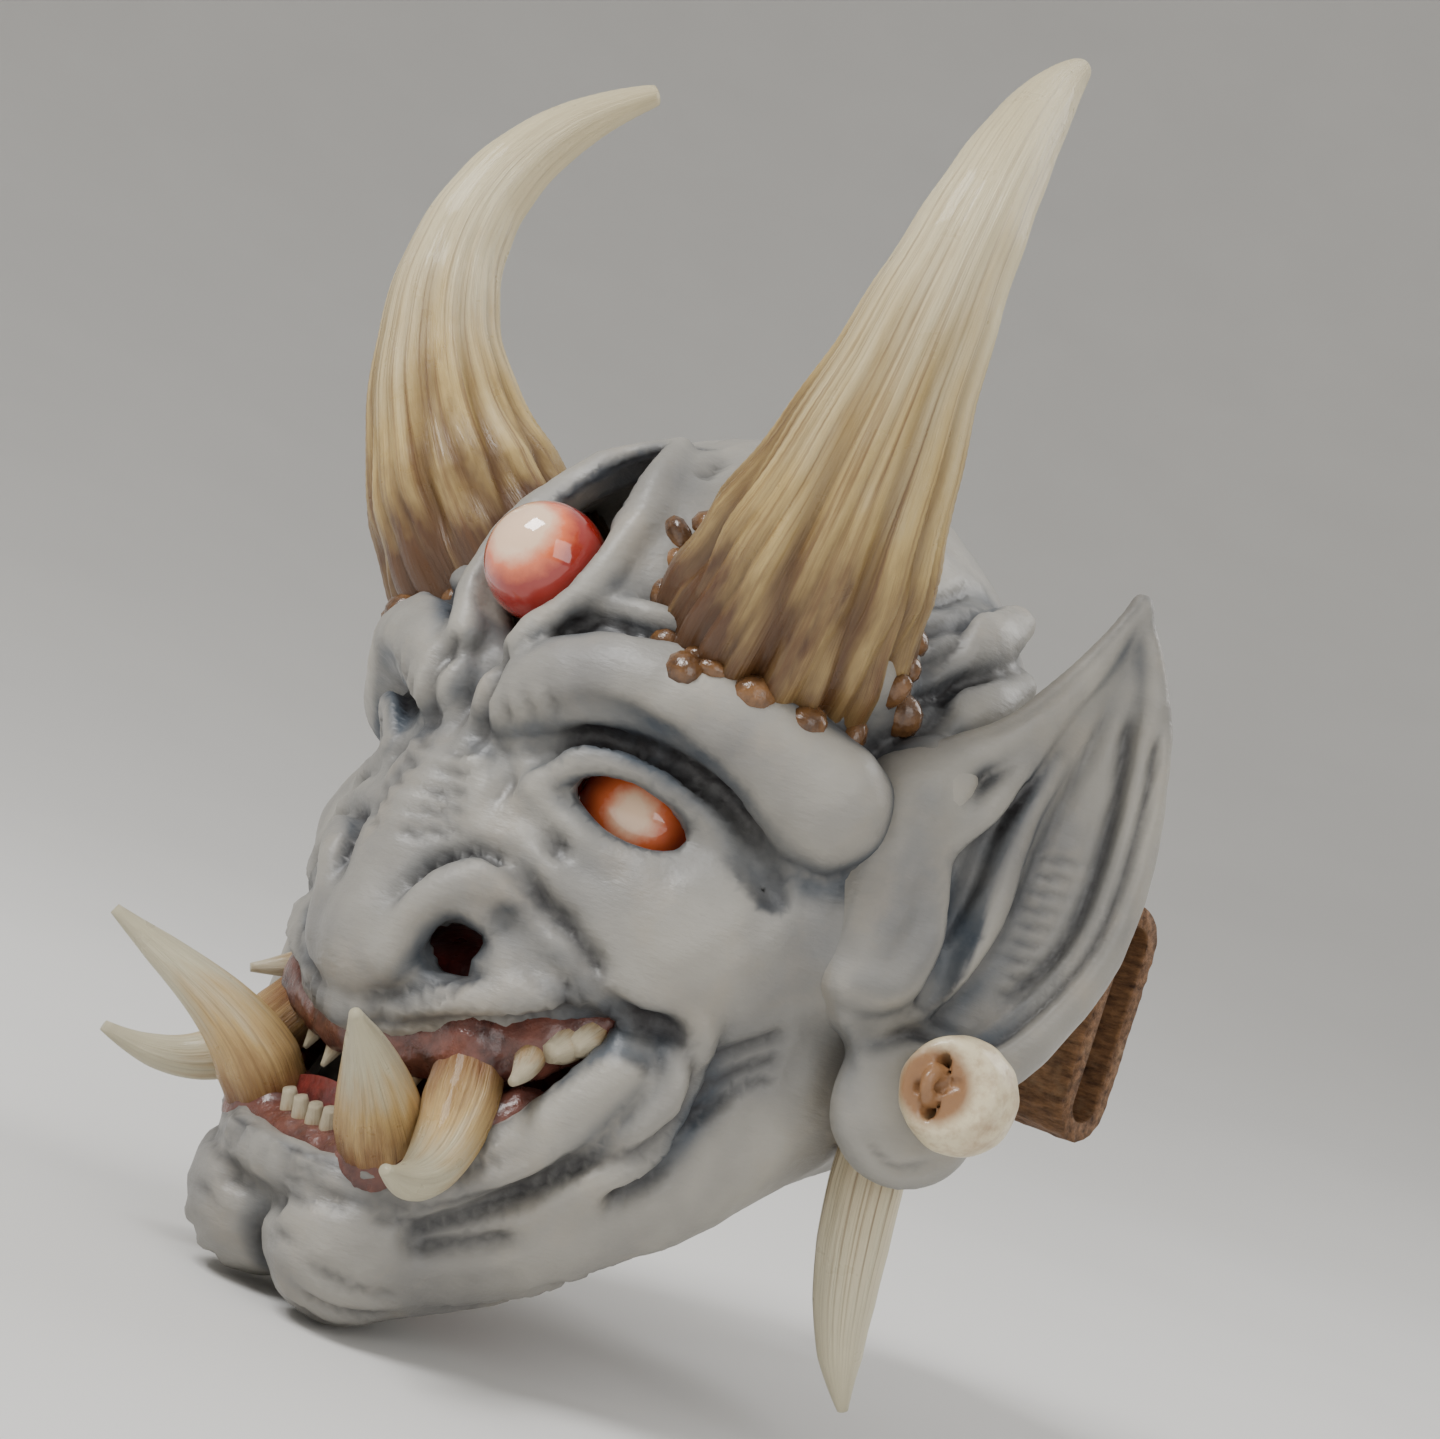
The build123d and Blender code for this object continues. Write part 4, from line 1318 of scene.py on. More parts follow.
    def lips(self, clay: Clay) -> None:
        """Lay the lip bands round the mouth."""
        upper = ((0, -96.8, -26.4), (7, -95.8, -24.8), (14.5, -93.2, -21.6), (21, -89, -17.2),
                 (27, -83.8, -13.8))
        clay.add(Roll(upper, (2.6, 3.0, 3.3, 3.4, 3.0)), 1.6)
        second = ((13.5, -93.6, -17.2), (19, -90.4, -13.4), (25.6, -84.4, -11.4), (30, -79.5, -15.5))
        clay.add(Roll(second, (1.8, 2.4, 2.6, 2.2)), 1.2)
        lower = ((0, -99.6, -42.2), (7, -98.0, -42.3), (14, -93.0, -40.4), (21, -88.0, -33.6),
                 (27, -83.6, -21.5))
        clay.add(Roll(lower, (3.3, 3.5, 3.5, 3.5, 3.2)), 1.4)
        fold = ((15.6, -95.2, -12.5), (20.0, -94.0, -15.2), (27.0, -87.6, -19.0), (32.0, -80.0, -20.8))
        clay.cut(Roll(fold, (1.0, 1.5, 1.6, 0.9)), 2.2)
        for place, size in (((5.8, -99.8, -41.2), 2.7), ((11.6, -97.0, -40.4), 2.4),
                            ((2.0, -101.4, -40.4), 1.8)):
            clay.add(Ball(place, (size, size, size)), 0.8)
        outer = ((29.6, -79.8, -16), (29.2, -80.0, -25), (24.6, -83.0, -34.6), (17.5, -88.4, -42.4))
        clay.add(Roll(outer, (2.4, 3.0, 3.0, 2.4)), 1.3)

    def mouth(self, x: np.ndarray, y: np.ndarray, z: np.ndarray) -> np.ndarray:
        """Distances to the opening between the lips."""
        across = np.abs(x)
        top = np.interp(across, *zip(*self.upper_edge))
        low = np.interp(across, *zip(*self.lower_edge))
        gape = np.maximum(z - top, low - z)
        return np.maximum(gape, np.maximum(across - 24.6, y - self.mouth_back))

    def neck(self, x: np.ndarray, y: np.ndarray, z: np.ndarray) -> np.ndarray:
        """Distances to the space under the neck's rim."""
        back_y, back_z = self.neck_back
        slope = math.radians(self.neck_slope)
        above = (z - back_z) * math.cos(slope) - (y - back_y) * math.sin(slope)
        return np.maximum(above, self.neck_front - y) + 0 * x

    def carve(self) -> Clay:
        """Lay the whole head and cut its openings.

        Returns:
            The clay of both sides.
        """
        low = np.array([-4 * self.pitch, -112, -63])
        clay = Clay(low, (48, -6, 60), self.pitch)
        self.masses(clay)
        self.horn_collar(clay)
        plain = clay.grid.copy()
        self.brow(clay)
        self.nose(clay)
        self.eye_folds(clay)
        self.third_eye_rim(clay)
        self.lips(clay)
        eye = node_middle("left_eyeball")
        reach = node_size("left_eyeball")[0] / 2
        heading = np.array([math.sin(math.radians(self.eye_yaw)), -math.cos(math.radians(self.eye_yaw)), 0])
        clay.cut(Ball(eye + heading * (reach + 0.6), self.eye_almond, (0, self.eye_tilt, self.eye_yaw)), 0.8)
        third = np.array(self.third_eye)
        clay.cut(Ball(third + (0, -2.0, 0.6), (7.6, 8.4, 8.8)), 0.9)
        clay.cut(Roll((third + (0, 5.5, 6.5), third + (0, 11.5, 13.5), third + (0, 17.5, 19)),
                      (5.4, 3.6, 1.3)), 1.0)
        clay.cut(Roll((third + (0, -1.0, -7), (0, -97.6, 12.5), (0, -99.4, 6.5)), (2.8, 1.5, 0.8)), 1.0)
        box = (np.array((-30, -115, -45)), np.array((30, self.mouth_back, -10)))
        clay.cut(Region(*box, self.mouth), 1.2)
        clay.grid = np.maximum(clay.grid, -(plain + self.wall))
        for place, reach in ((eye, reach), (third, self.third_eye_radius)):
            size = reach - 0.1
            clay.cut(Ball(place, (size, size, size)), 0.05)
        clay.cut(Region((-60, self.neck_front, -70), (60, 0, 5), self.neck), 1.0)
        return clay.mirrored()

    def furrows(self) -> list[Furrow]:
        """The creases and wrinkles of the left side."""
        fine = {"width": 0.75, "depth": 0.55, "stain": 0.65}
        deep = {"width": 1.2, "depth": 1.3, "stain": 1.0}
        return [
            Furrow(((13, -95, -7), (17, -92.5, -9.8), (23, -88.6, -13.4), (30, -81, -17.6), (31, -79, -25),
                    (26, -84, -33), (19, -90, -41), (13, -95, -46)), **deep),
            Furrow(((0, -100.5, -46.4), (8, -98.6, -46.6), (16, -92, -45.4), (24, -83, -39),
                    (30, -75, -29)), **deep),
            Furrow(((0, -101.5, -49), (0, -102.2, -54), (0, -96, -58), (0, -90, -58)), **deep),
            Furrow(((0, -98.6, 12), (0, -99.3, 7), (0, -98.6, 3)), width=1.0, depth=0.9),
            Furrow(((3.6, -98, 16), (4.8, -98, 9), (3.4, -98, 3)), width=1.0, depth=1.1, stain=0.9),
            Furrow(((7.8, -96.6, 3.6), (9.4, -95.8, 0.4), (8.4, -96.4, -3)), width=0.9, depth=0.9),
            Furrow(((0, -98.2, 1.6), (3.4, -97.8, 1.9), (6.5, -96.6, 3)),
                   ((0, -102, -8), (4, -100.6, -7), (8, -97, -5)),
                   count=5, **fine),
            Furrow(((6.2, -100, -15), (6.4, -99, -10.5), (9.5, -96.5, -7), (13.8, -93.4, -8.8),
                    (15.4, -92, -14),
                    (13.6, -93.6, -20)), width=0.9, depth=1.0, stain=1.0),
            Furrow(((12.5, -94, -2.6), (17, -91.4, -5.4), (23, -87, -6), (29.5, -80, -2.6)), **deep),
            Furrow(((12.5, -94, -6.4), (17.5, -91, -10.6), (24.5, -86, -11.2), (31.5, -77.6, -7),
                    (34.5, -73, -1)),
                   width=1.0, depth=1.0, stain=0.9),
            Furrow(((14, -92, -6), (19, -89.5, -8), (25, -84.8, -8.4), (30, -79, -5.4)),
                   ((14, -92, -7.6), (19, -89.5, -9.8), (25, -84.8, -10), (31, -78, -7)), count=2, **fine),
            Furrow(((11, -95, 4.4), (15.5, -92.4, 8.2), (21, -89, 8.8), (27, -83.6, 6.6), (31.5, -78, 1)),
                   **deep),
            Furrow(((13, -94, 4.2), (17, -91.8, 6.8), (22, -88.2, 7.2), (27, -83.8, 5.0)), width=0.7,
                   depth=0.5),
            Furrow(((5, -95, 17), (11, -92.5, 20), (19, -87, 20.4), (27, -80, 18)), **deep),
            Furrow(((6.5, -97, 10), (7.4, -97, 7), (7.2, -97, 4.4)),
                   ((11, -96, 12), (12.4, -96, 9.2), (12, -96, 6.4)),
                   count=3, **fine),
            Furrow(((10.4, -90, 15), (11.4, -88, 26), (8.6, -84, 36), (4.4, -77, 45)), width=1.0, depth=0.9),
            Furrow(((12, -90, 24.6), (16, -87.4, 25.4), (20, -83.6, 24.4)),
                   ((12, -91, 19), (16, -89, 19.4), (20, -86, 18.6)),
                   count=4, **fine),
            Furrow(((31, -72, 15.4), (34, -65.5, 20), (34.6, -58, 27)),
                   ((27, -70, 31), (29, -62, 37), (27, -53, 43)),
                   count=5, width=0.9, depth=0.9, stain=0.8),
            Furrow(((4, -76, 46), (5, -66, 52), (4, -54, 53.5), (3, -42, 50)),
                   ((12, -72, 44), (14, -62, 48), (13, -50, 49),
                   (10, -38, 45)), count=3, width=1.1, depth=0.55, stain=0.4),
            Furrow(((2, -99, -23.6), (9, -97, -22.6), (16, -92.6, -19), (22, -88, -15)),
                   ((2, -99, -27.4), (9, -98, -26.2), (16, -94, -22), (23, -87.6, -17.6)), count=4, **fine),
            Furrow(((2, -100, -25.4), (2.2, -99, -29)), ((22, -89, -15.6), (23.4, -87.6, -18.8)), count=12,
                   width=0.6, depth=0.5, stain=0.7),
            Furrow(((2, -103, -40), (8, -101.5, -40.4), (15, -96, -38.6), (22, -90, -32)),
                   ((2, -102.4, -45), (8, -100.4, -45), (16, -93.6, -43), (23.5, -86.6, -36)), count=4,
                   **fine),
            Furrow(((1.5, -103, -39), (1.7, -102, -44)), ((18, -93.6, -36.4), (19.4, -91, -40)), count=9,
                   width=0.6, depth=0.4, stain=0.5),
            Furrow(((31.6, -77, -20), (33, -69, -12), (34.6, -62, -6)),
                   ((22, -80, -47), (25, -70, -37), (27, -61, -25)),
                   count=8, width=0.85, depth=0.75, stain=0.75),
            Furrow(((30, -77.6, -27), (31, -73, -22), (32, -68, -18)),
                   ((15, -88, -52), (18, -81, -49), (21, -74, -42)),
                   count=6, **fine),
            Furrow(((10, -101, -50), (14, -97, -51), (16, -91, -51)),
                   ((6, -99, -55.6), (10, -95, -56.4), (13, -89, -55)),
                   count=3, **fine),
            Furrow(((3, -101.6, -50.5), (6, -102, -49.2), (10, -100.6, -48.6)), width=0.8, depth=0.6),
            Furrow(((34.4, -71, 1.4), (35.4, -66, 2), (37, -61.5, 4)),
                   ((31.6, -75, -12), (34.2, -68, -9), (35.6, -61.5, -6)),
                   count=4, **fine),
        ]

    def build(self) -> bpy.types.Object:
        """Model, stain and dress the head.

        Returns:
            The head's piece.
        """
        surface = Sculpted.of(self.carve())
        for furrow in self.furrows():
            surface.crease(furrow)
        surface.roughen(5.0, 0.16, 1.0)
        surface.roughen(13.0, 0.22, 4.0)
        head = surface.piece("cast_head")
        hand_over(head, PaintedSkin().made(), "skin", "head_shell")
        return head


# ---------------------------------------------------------------------------------------------------
# Horns
# ---------------------------------------------------------------------------------------------------
@dataclass
class Horns:
    """The two horns and the knobbly beads round their roots. Millimetres, left side."""

    root: Point = (24.6, -80.2, 27.6)
    bends: tuple = ((16.1, -12.6, 19.8), (19.0, -16.9, 44.6), (8.3, 5.2, 65.3))
    radii: tuple = (13.8, 12.2, 9.6, 7.6, 6.2, 5.2, 4.2, 3.0, 1.3)
    sink: float = 7.0
    around: int = 144
    stations: int = 130
    ribs: int = 9
    groove: float = 0.11
    bead_rows: int = 2
    bead_radius: float = 2.0
    bead_gap: float = 4.8
    bead_sink: float = 0.9
    bead_unevenness: float = 0.42

    def line(self) -> np.ndarray:
        """The horn's middle line, run on into the skull."""
        root = np.array(self.root)
        line = bezier_line([root] + [root + bend for bend in self.bends], self.stations)
        way = line[1] - line[0]
        way /= np.linalg.norm(way)
        buried = [line[0] - way * self.sink * share for share in (1.0, 0.66, 0.33)]
        return np.vstack([buried, line])

    def radius(self, share: float, angles: np.ndarray) -> np.ndarray:
        """The radii round the horn: long grooves that fade towards the tip.

        Args:
            share: Part of the length.
            angles: Angles round the horn.

        Returns:
            One radius an angle.
        """
        plain = float(taper(self.radii, 200)[int(share * 199)])
        rings = 0.010 * math.sin(46 * share + 1.5 * math.sin(9 * share))
        sunk = self.sunk(share, angles)
        return plain * (1.02 + rings - self.groove * (0.05 + 1.1 * (1 - share) ** 2.4) * sunk)

    def sunk(self, share: float, angles: np.ndarray) -> np.ndarray:
        """How deep in a groove each angle is: narrow grooves between broad ridges.

        Args:
            share: Part of the length.
            angles: Angles round the horn.

        Returns:
            Values from 0 on a ridge to 1 in a groove.
        """
        drift = 0.5 * math.sin(5 * share) + 0.9 * share
        waves = np.cos(self.ribs * angles + 3 * drift + 1.4 * np.sin(2 * angles))
        finer = np.cos(19 * angles - 4 * drift + 2.0 * np.sin(3 * angles + 1))
        return np.clip(0.5 + 0.5 * waves, 0, 1) ** 5 + 0.55 * np.clip(0.5 + 0.5 * finer, 0, 1) ** 4

    def bead_places(self, head: bpy.types.Object) -> np.ndarray:
        """Places for the beads, in uneven rows on the skin round the root.

        Args:
            head: The head that they stand on.

        Returns:
            Points in millimetres.
        """
        line = self.line()
        way = line[8] - line[3]
        way /= np.linalg.norm(way)
        side = np.cross(way, (0.0, 0.0, 1.0))
        side /= np.linalg.norm(side)
        up = np.cross(side, way)
        places = []
        for row in range(self.bead_rows):
            reach = self.radii[0] - 0.6 + row * 1.7
            count = int(2 * math.pi * reach / self.bead_gap)
            for k in range(count):
                turn = 2 * math.pi * (k + 0.5 * (row % 2)) / count + 0.09 * math.sin(5 * k + row)
                wander = 0.5 * math.sin(7 * k + 2 * row)
                out = (reach + wander) * (math.cos(turn) * side + math.sin(turn) * up)
                start = np.array(self.root) + out + way * 14
                hit, place, _, _ = head.ray_cast(tuple(start * MM), tuple(-way), distance=0.030)
                if hit and (row == 0 or k % 3 == 1):
                    places.append(np.array(place) / MM - way * self.bead_sink)
        return np.array(places)

    def beads(self, name: str, places: np.ndarray, finish: bpy.types.Material) -> bpy.types.Object:
        """Knobbly beads on their places, made by a node tree.

        Args:
            name: The piece's name.
            places: Their places.
            finish: Their material.

        Returns:
            The piece as a plain mesh.
        """
        seeds = make_piece(name + "_places", places, [])
        tree = bpy.data.node_groups.new(name + "_tree", "GeometryNodeTree")
        tree.interface.new_socket("Geometry", in_out="INPUT", socket_type="NodeSocketGeometry")
        size = tree.interface.new_socket("Bead Radius", in_out="INPUT", socket_type="NodeSocketFloat")
        spread = tree.interface.new_socket("Unevenness", in_out="INPUT", socket_type="NodeSocketFloat")
        tree.interface.new_socket("Geometry", in_out="OUTPUT", socket_type="NodeSocketGeometry")
        nodes, links = tree.nodes, tree.links
        inside, outside = nodes.new("NodeGroupInput"), nodes.new("NodeGroupOutput")
        bead = nodes.new("GeometryNodeMeshIcoSphere")
        bead.inputs["Subdivisions"].default_value = 2
        instance = nodes.new("GeometryNodeInstanceOnPoints")
        lumpy = nodes.new("FunctionNodeRandomValue")
        lumpy.data_type = "FLOAT_VECTOR"
        lumpy.inputs["Seed"].default_value = 3
        low, high = nodes.new("ShaderNodeMath"), nodes.new("ShaderNodeMath")
        low.operation, high.operation = "SUBTRACT", "ADD"
        low.inputs[0].default_value = high.inputs[0].default_value = 1.0
        spin = nodes.new("FunctionNodeRandomValue")
        spin.data_type = "FLOAT_VECTOR"
        spin.inputs["Seed"].default_value = 8
        spin.inputs[1].default_value = (6.28, 6.28, 6.28)
        real = nodes.new("GeometryNodeRealizeInstances")
        smooth = nodes.new("GeometryNodeSetShadeSmooth")
        dressed = nodes.new("GeometryNodeSetMaterial")
        dressed.inputs["Material"].default_value = finish
        for start, end in (
            (inside.outputs["Geometry"], instance.inputs["Points"]),
            (inside.outputs["Bead Radius"], bead.inputs["Radius"]),
            (inside.outputs["Unevenness"], low.inputs[1]),
            (inside.outputs["Unevenness"], high.inputs[1]),
            (low.outputs[0], lumpy.inputs[0]),
            (high.outputs[0], lumpy.inputs[1]),
            (lumpy.outputs[0], instance.inputs["Scale"]),
            (spin.outputs[0], instance.inputs["Rotation"]),
            (bead.outputs["Mesh"], instance.inputs["Instance"]),
            (instance.outputs["Instances"], real.inputs["Geometry"]),
            (real.outputs["Geometry"], smooth.inputs["Geometry"]),
            (smooth.outputs["Geometry"], dressed.inputs["Geometry"]),
            (dressed.outputs["Geometry"], outside.inputs["Geometry"]),
        ):
            links.new(start, end)
        modifier = seeds.modifiers.new("beads", "NODES")
        modifier.node_group = tree
        modifier[size.identifier] = self.bead_radius * MM
        modifier[spread.identifier] = self.bead_unevenness
        ready = seeds.evaluated_get(bpy.context.evaluated_depsgraph_get())
        mesh = bpy.data.meshes.new_from_object(ready)
        mesh.name = name
        piece = bpy.data.objects.new(name, mesh)
        bpy.context.scene.collection.objects.link(piece)
        seeds.modifiers.clear()
        bpy.data.objects.remove(seeds)
        return piece

    def build(self, head: bpy.types.Object) -> None:
        """Model and dress both horns and their beads.

        Args:
            head: The head that the beads stand on.
        """
        finish = StainedHorn().made()
        knob = WetFlesh("horn_root_beads", (0.24, 0.115, 0.042), (0.035, 0.014, 0.006), 0.2).made()
        sweep = swept(self.line(), self.radius, self.around)
        places = self.bead_places(head)
        for side in Side:
            points, faces, along, turn = sweep
            points = points * (side.value, 1, 1)
            if side is Side.RIGHT:
                faces = [tuple(reversed(loop)) for loop in faces]
            # how deep in a groove each point is, which the horn's finish uses for painted shade in the
            # grooves
            grooves = [float(self.sunk(share, np.array([angle]))[0]) for share, angle in zip(along, turn)]
            horn = make_swept(f"{side.word}_horn_grown", (points, faces, along, turn), np.clip(grooves, 0, 1))
            hand_over(horn, finish, "horn", f"{side.word}_horn")
            beads = self.beads(f"{side.word}_horn_beads", places * (side.value, 1, 1), knob)
            hand_over(beads, None, "horn")


# ---------------------------------------------------------------------------------------------------
# Teeth and mouth
# ---------------------------------------------------------------------------------------------------
@dataclass
class Mouth:
    """Gums, tusks, canines, spikes, molars and front teeth. Millimetres, left side."""

    tusks: dict = field(default_factory=lambda: {
        Tusk.LOWER: ((10.24, -94.94, -39.5), ((0, -5.5, 8.5), (5.5, -11, 10), (11, -19.5, 14.5)),
                     (4.3, 4.5, 3.6, 2.7, 1.8, 0.6)),
        Tusk.UPPER: ((13.1, -91.5, -25.7), ((4.5, -2.2, -10), (7.5, -6.5, -15), (12, -16.5, -11.8)),
                     (3.4, 3.9, 3.3, 2.6, 1.8, 0.6)),
        Tusk.CANINE: ((17.8, -88.2, -23.1), ((1.6, -1.4, -1.5), (3.4, -3, -2.8), (5, -6, -4)),
                      (1.9, 1.7, 1.2, 0.5)),
    })
    spikes: tuple = ((3.45, -94.4, -28.0), (8.46, -93.4, -27.2))
    incisors: tuple = ((1.03, -96.9, -41.7), (3.33, -96.8, -41.5))
    molars: tuple = ((20.4, -85.2, -20.8), (21.5, -83.5, -19.5))
    upper_gum: tuple = ((0, -94.6, -28.1), (7.2, -93.9, -27.3), (13.5, -91.2, -25.5), (19, -86.7, -22),
                        (22.1, -82.3, -18.6))
    lower_gum: tuple = ((0, -97, -41.8), (6.3, -96.3, -41), (11.9, -94.1, -38.6), (16, -90.7, -34.8),
                        (18.5, -86.9, -30.7))
    gum_radius: float = 3.2
    pitch: float = 0.55

    def tooth(self, name: str, root: Point, bends: Sequence[Point], radii: Sequence[float], around: int = 32,
              stations: int = 44) -> bpy.types.Object:
        """A curved tooth with fine long grooves.

        Args:
            name: The piece's name.
            root: Its root.
            bends: Its other control points, measured from the root.
            radii: Radii from root to tip.
            around: Points round it.
            stations: Rings along it.

        Returns:
            The piece.
        """
        start = np.array(root, float)
        line = bezier_line([start] + [start + bend for bend in bends], stations)

        def radius(share: float, angles: np.ndarray) -> np.ndarray:
            """Radii round the tooth."""
            plain = float(np.interp(share, np.linspace(0, 1, len(radii)), radii))
            grooves = np.cos(7 * angles + 2 * share) + 0.6 * np.cos(12 * angles - 3 * share)
            return plain * (1 + 0.022 * grooves * (1 - share))

        return make_swept(name, swept(line, radius, around))

    def gum(self, name: str, line: Sequence[Point], teeth: Sequence[tuple[Point, float]]) -> bpy.types.Object:
        """A gum with a swelling at each tooth.

        Args:
            name: The piece's name.
            line: Its middle line, from the middle to the left end.
            teeth: Each tooth's root and radius.

        Returns:
            The piece.
        """
        clay = Clay((-4 * self.pitch, -104, -50), (28, -74, -12), self.pitch)
        clay.add(Roll(line, (self.gum_radius, self.gum_radius)), 1)
        for place, radius in teeth:
            clay.add(Ball(place, (radius + 1.3, radius + 1.3, radius + 2.0)), 1.5)
        surface = Sculpted.of(clay.mirrored())
        surface.roughen(2.2, 0.18, 2.0)
        return surface.piece(name)

    def build(self) -> None:
        """Model and dress everything in the mouth."""
        cream = StainedHorn("tusk_cream", tip=(0.66, 0.60, 0.42), middle=(0.56, 0.38, 0.16),
                            root=(0.17, 0.060, 0.016),
                            amber_end=0.36, streaks=0.5).made()
        small = StainedHorn("small_tooth", tip=(0.62, 0.54, 0.38), middle=(0.44, 0.28, 0.13),
                            root=(0.12, 0.045, 0.018),
                            amber_end=0.40, streaks=0.5).made()
        gum = WetFlesh("gum_brown", (0.19, 0.065, 0.045), (0.045, 0.016, 0.014)).made()
        for kind, (root, bends, radii) in self.tusks.items():
            canine = kind is Tusk.CANINE
            node = "left_canine" if canine else f"{kind.value}_left_tusk"
            left = self.tooth(node + "_grown", root, bends, radii)
            hand_over_pair(left, small if canine else cream, "ivory", node)
        self.small_row("upper_gum_spikes", self.spikes, (0, 0, -2.2), 5.4, (1.5, 1.25, 0.8, 0.25), small,
                       "gum", True)
        self.small_row("lower_front_teeth", self.incisors, (0, -0.3, 2.0), 5.2, (1.15, 1.2, 1.05, 0.7),
                       small, "ivory", True)
        self.small_row("molars", self.molars, (0.3, -1.2, -1.0), 4.6, (2.1, 2.3, 1.9, 1.0), small, "ivory",
                       False)
        teeth = [(self.tusks[Tusk.UPPER][0], 3.2), (self.tusks[Tusk.CANINE][0], 1.9)]
        teeth += [(place, 1.3) for place in self.spikes]
        hand_over(self.gum("upper_gum_flesh", self.upper_gum, teeth), gum, "gum", "upper_gum")
        teeth = [(self.tusks[Tusk.LOWER][0], 3.6)] + [(place, 0.9) for place in self.incisors]
        hand_over(self.gum("lower_gum_flesh", self.lower_gum, teeth), gum, "gum", "lower_gum")
        self.tongue()

    def small_row(self, node: str, roots: Sequence[Point], lean: Point, length: float, radii: Sequence[float],
                  finish: bpy.types.Material, slot: str, one_node: bool) -> None:
        """A few small teeth on each side.

        Args:
            node: The node or the end of the two sides' node names.
            roots: Their roots.
            lean: The way that they point.
            length: How long they are.
            radii: Radii from root to tip.
            finish: Their material.
            slot: Their slot, passed on when they are handed over.
            one_node: Whether both sides are one node.
        """
        way = np.array(lean) / np.linalg.norm(lean) * length
        bends = (way * 0.35, way * 0.7 + (0.2, -0.3, 0), way + (0.3, -0.9, 0))
        row = [self.tooth(f"{node}_{k}", root, bends, radii, 18, 14) for k, root in enumerate(roots)]
        left = joined(f"left_{node}_cut", row)
        if one_node:
            both = joined(f"{node}_cut", [left, mirrored(left, f"right_{node}_cut")])
            hand_over(both, finish, slot, node)
        else:
            hand_over_pair(left, finish, slot, f"left_{node}")

    def tongue(self) -> None:
        """The tongue: a low mound with a groove along its middle."""
        middle, size = node_middle("tongue"), node_size("tongue")
        low, high = middle - size / 2 - 2, middle + size / 2 + 2
        clay = Clay((-4 * self.pitch, low[1], low[2]), high + 1, self.pitch)
        clay.add(Ball(middle, size / 2), 1)
        clay.cut(Roll(((0, middle[1] - 12, middle[2] + 4), (0, middle[1] + 9, middle[2] + 4.4)),
                      (1.8, 1.8)), 1.5)
        surface = Sculpted.of(clay.mirrored())
        surface.roughen(1.4, 0.12, 5.0)
        flesh = WetFlesh("tongue_red", (0.30, 0.045, 0.035), (0.12, 0.018, 0.016), 0.22).made()
        hand_over(surface.piece("tongue_flesh"), flesh, "tongue", "tongue")


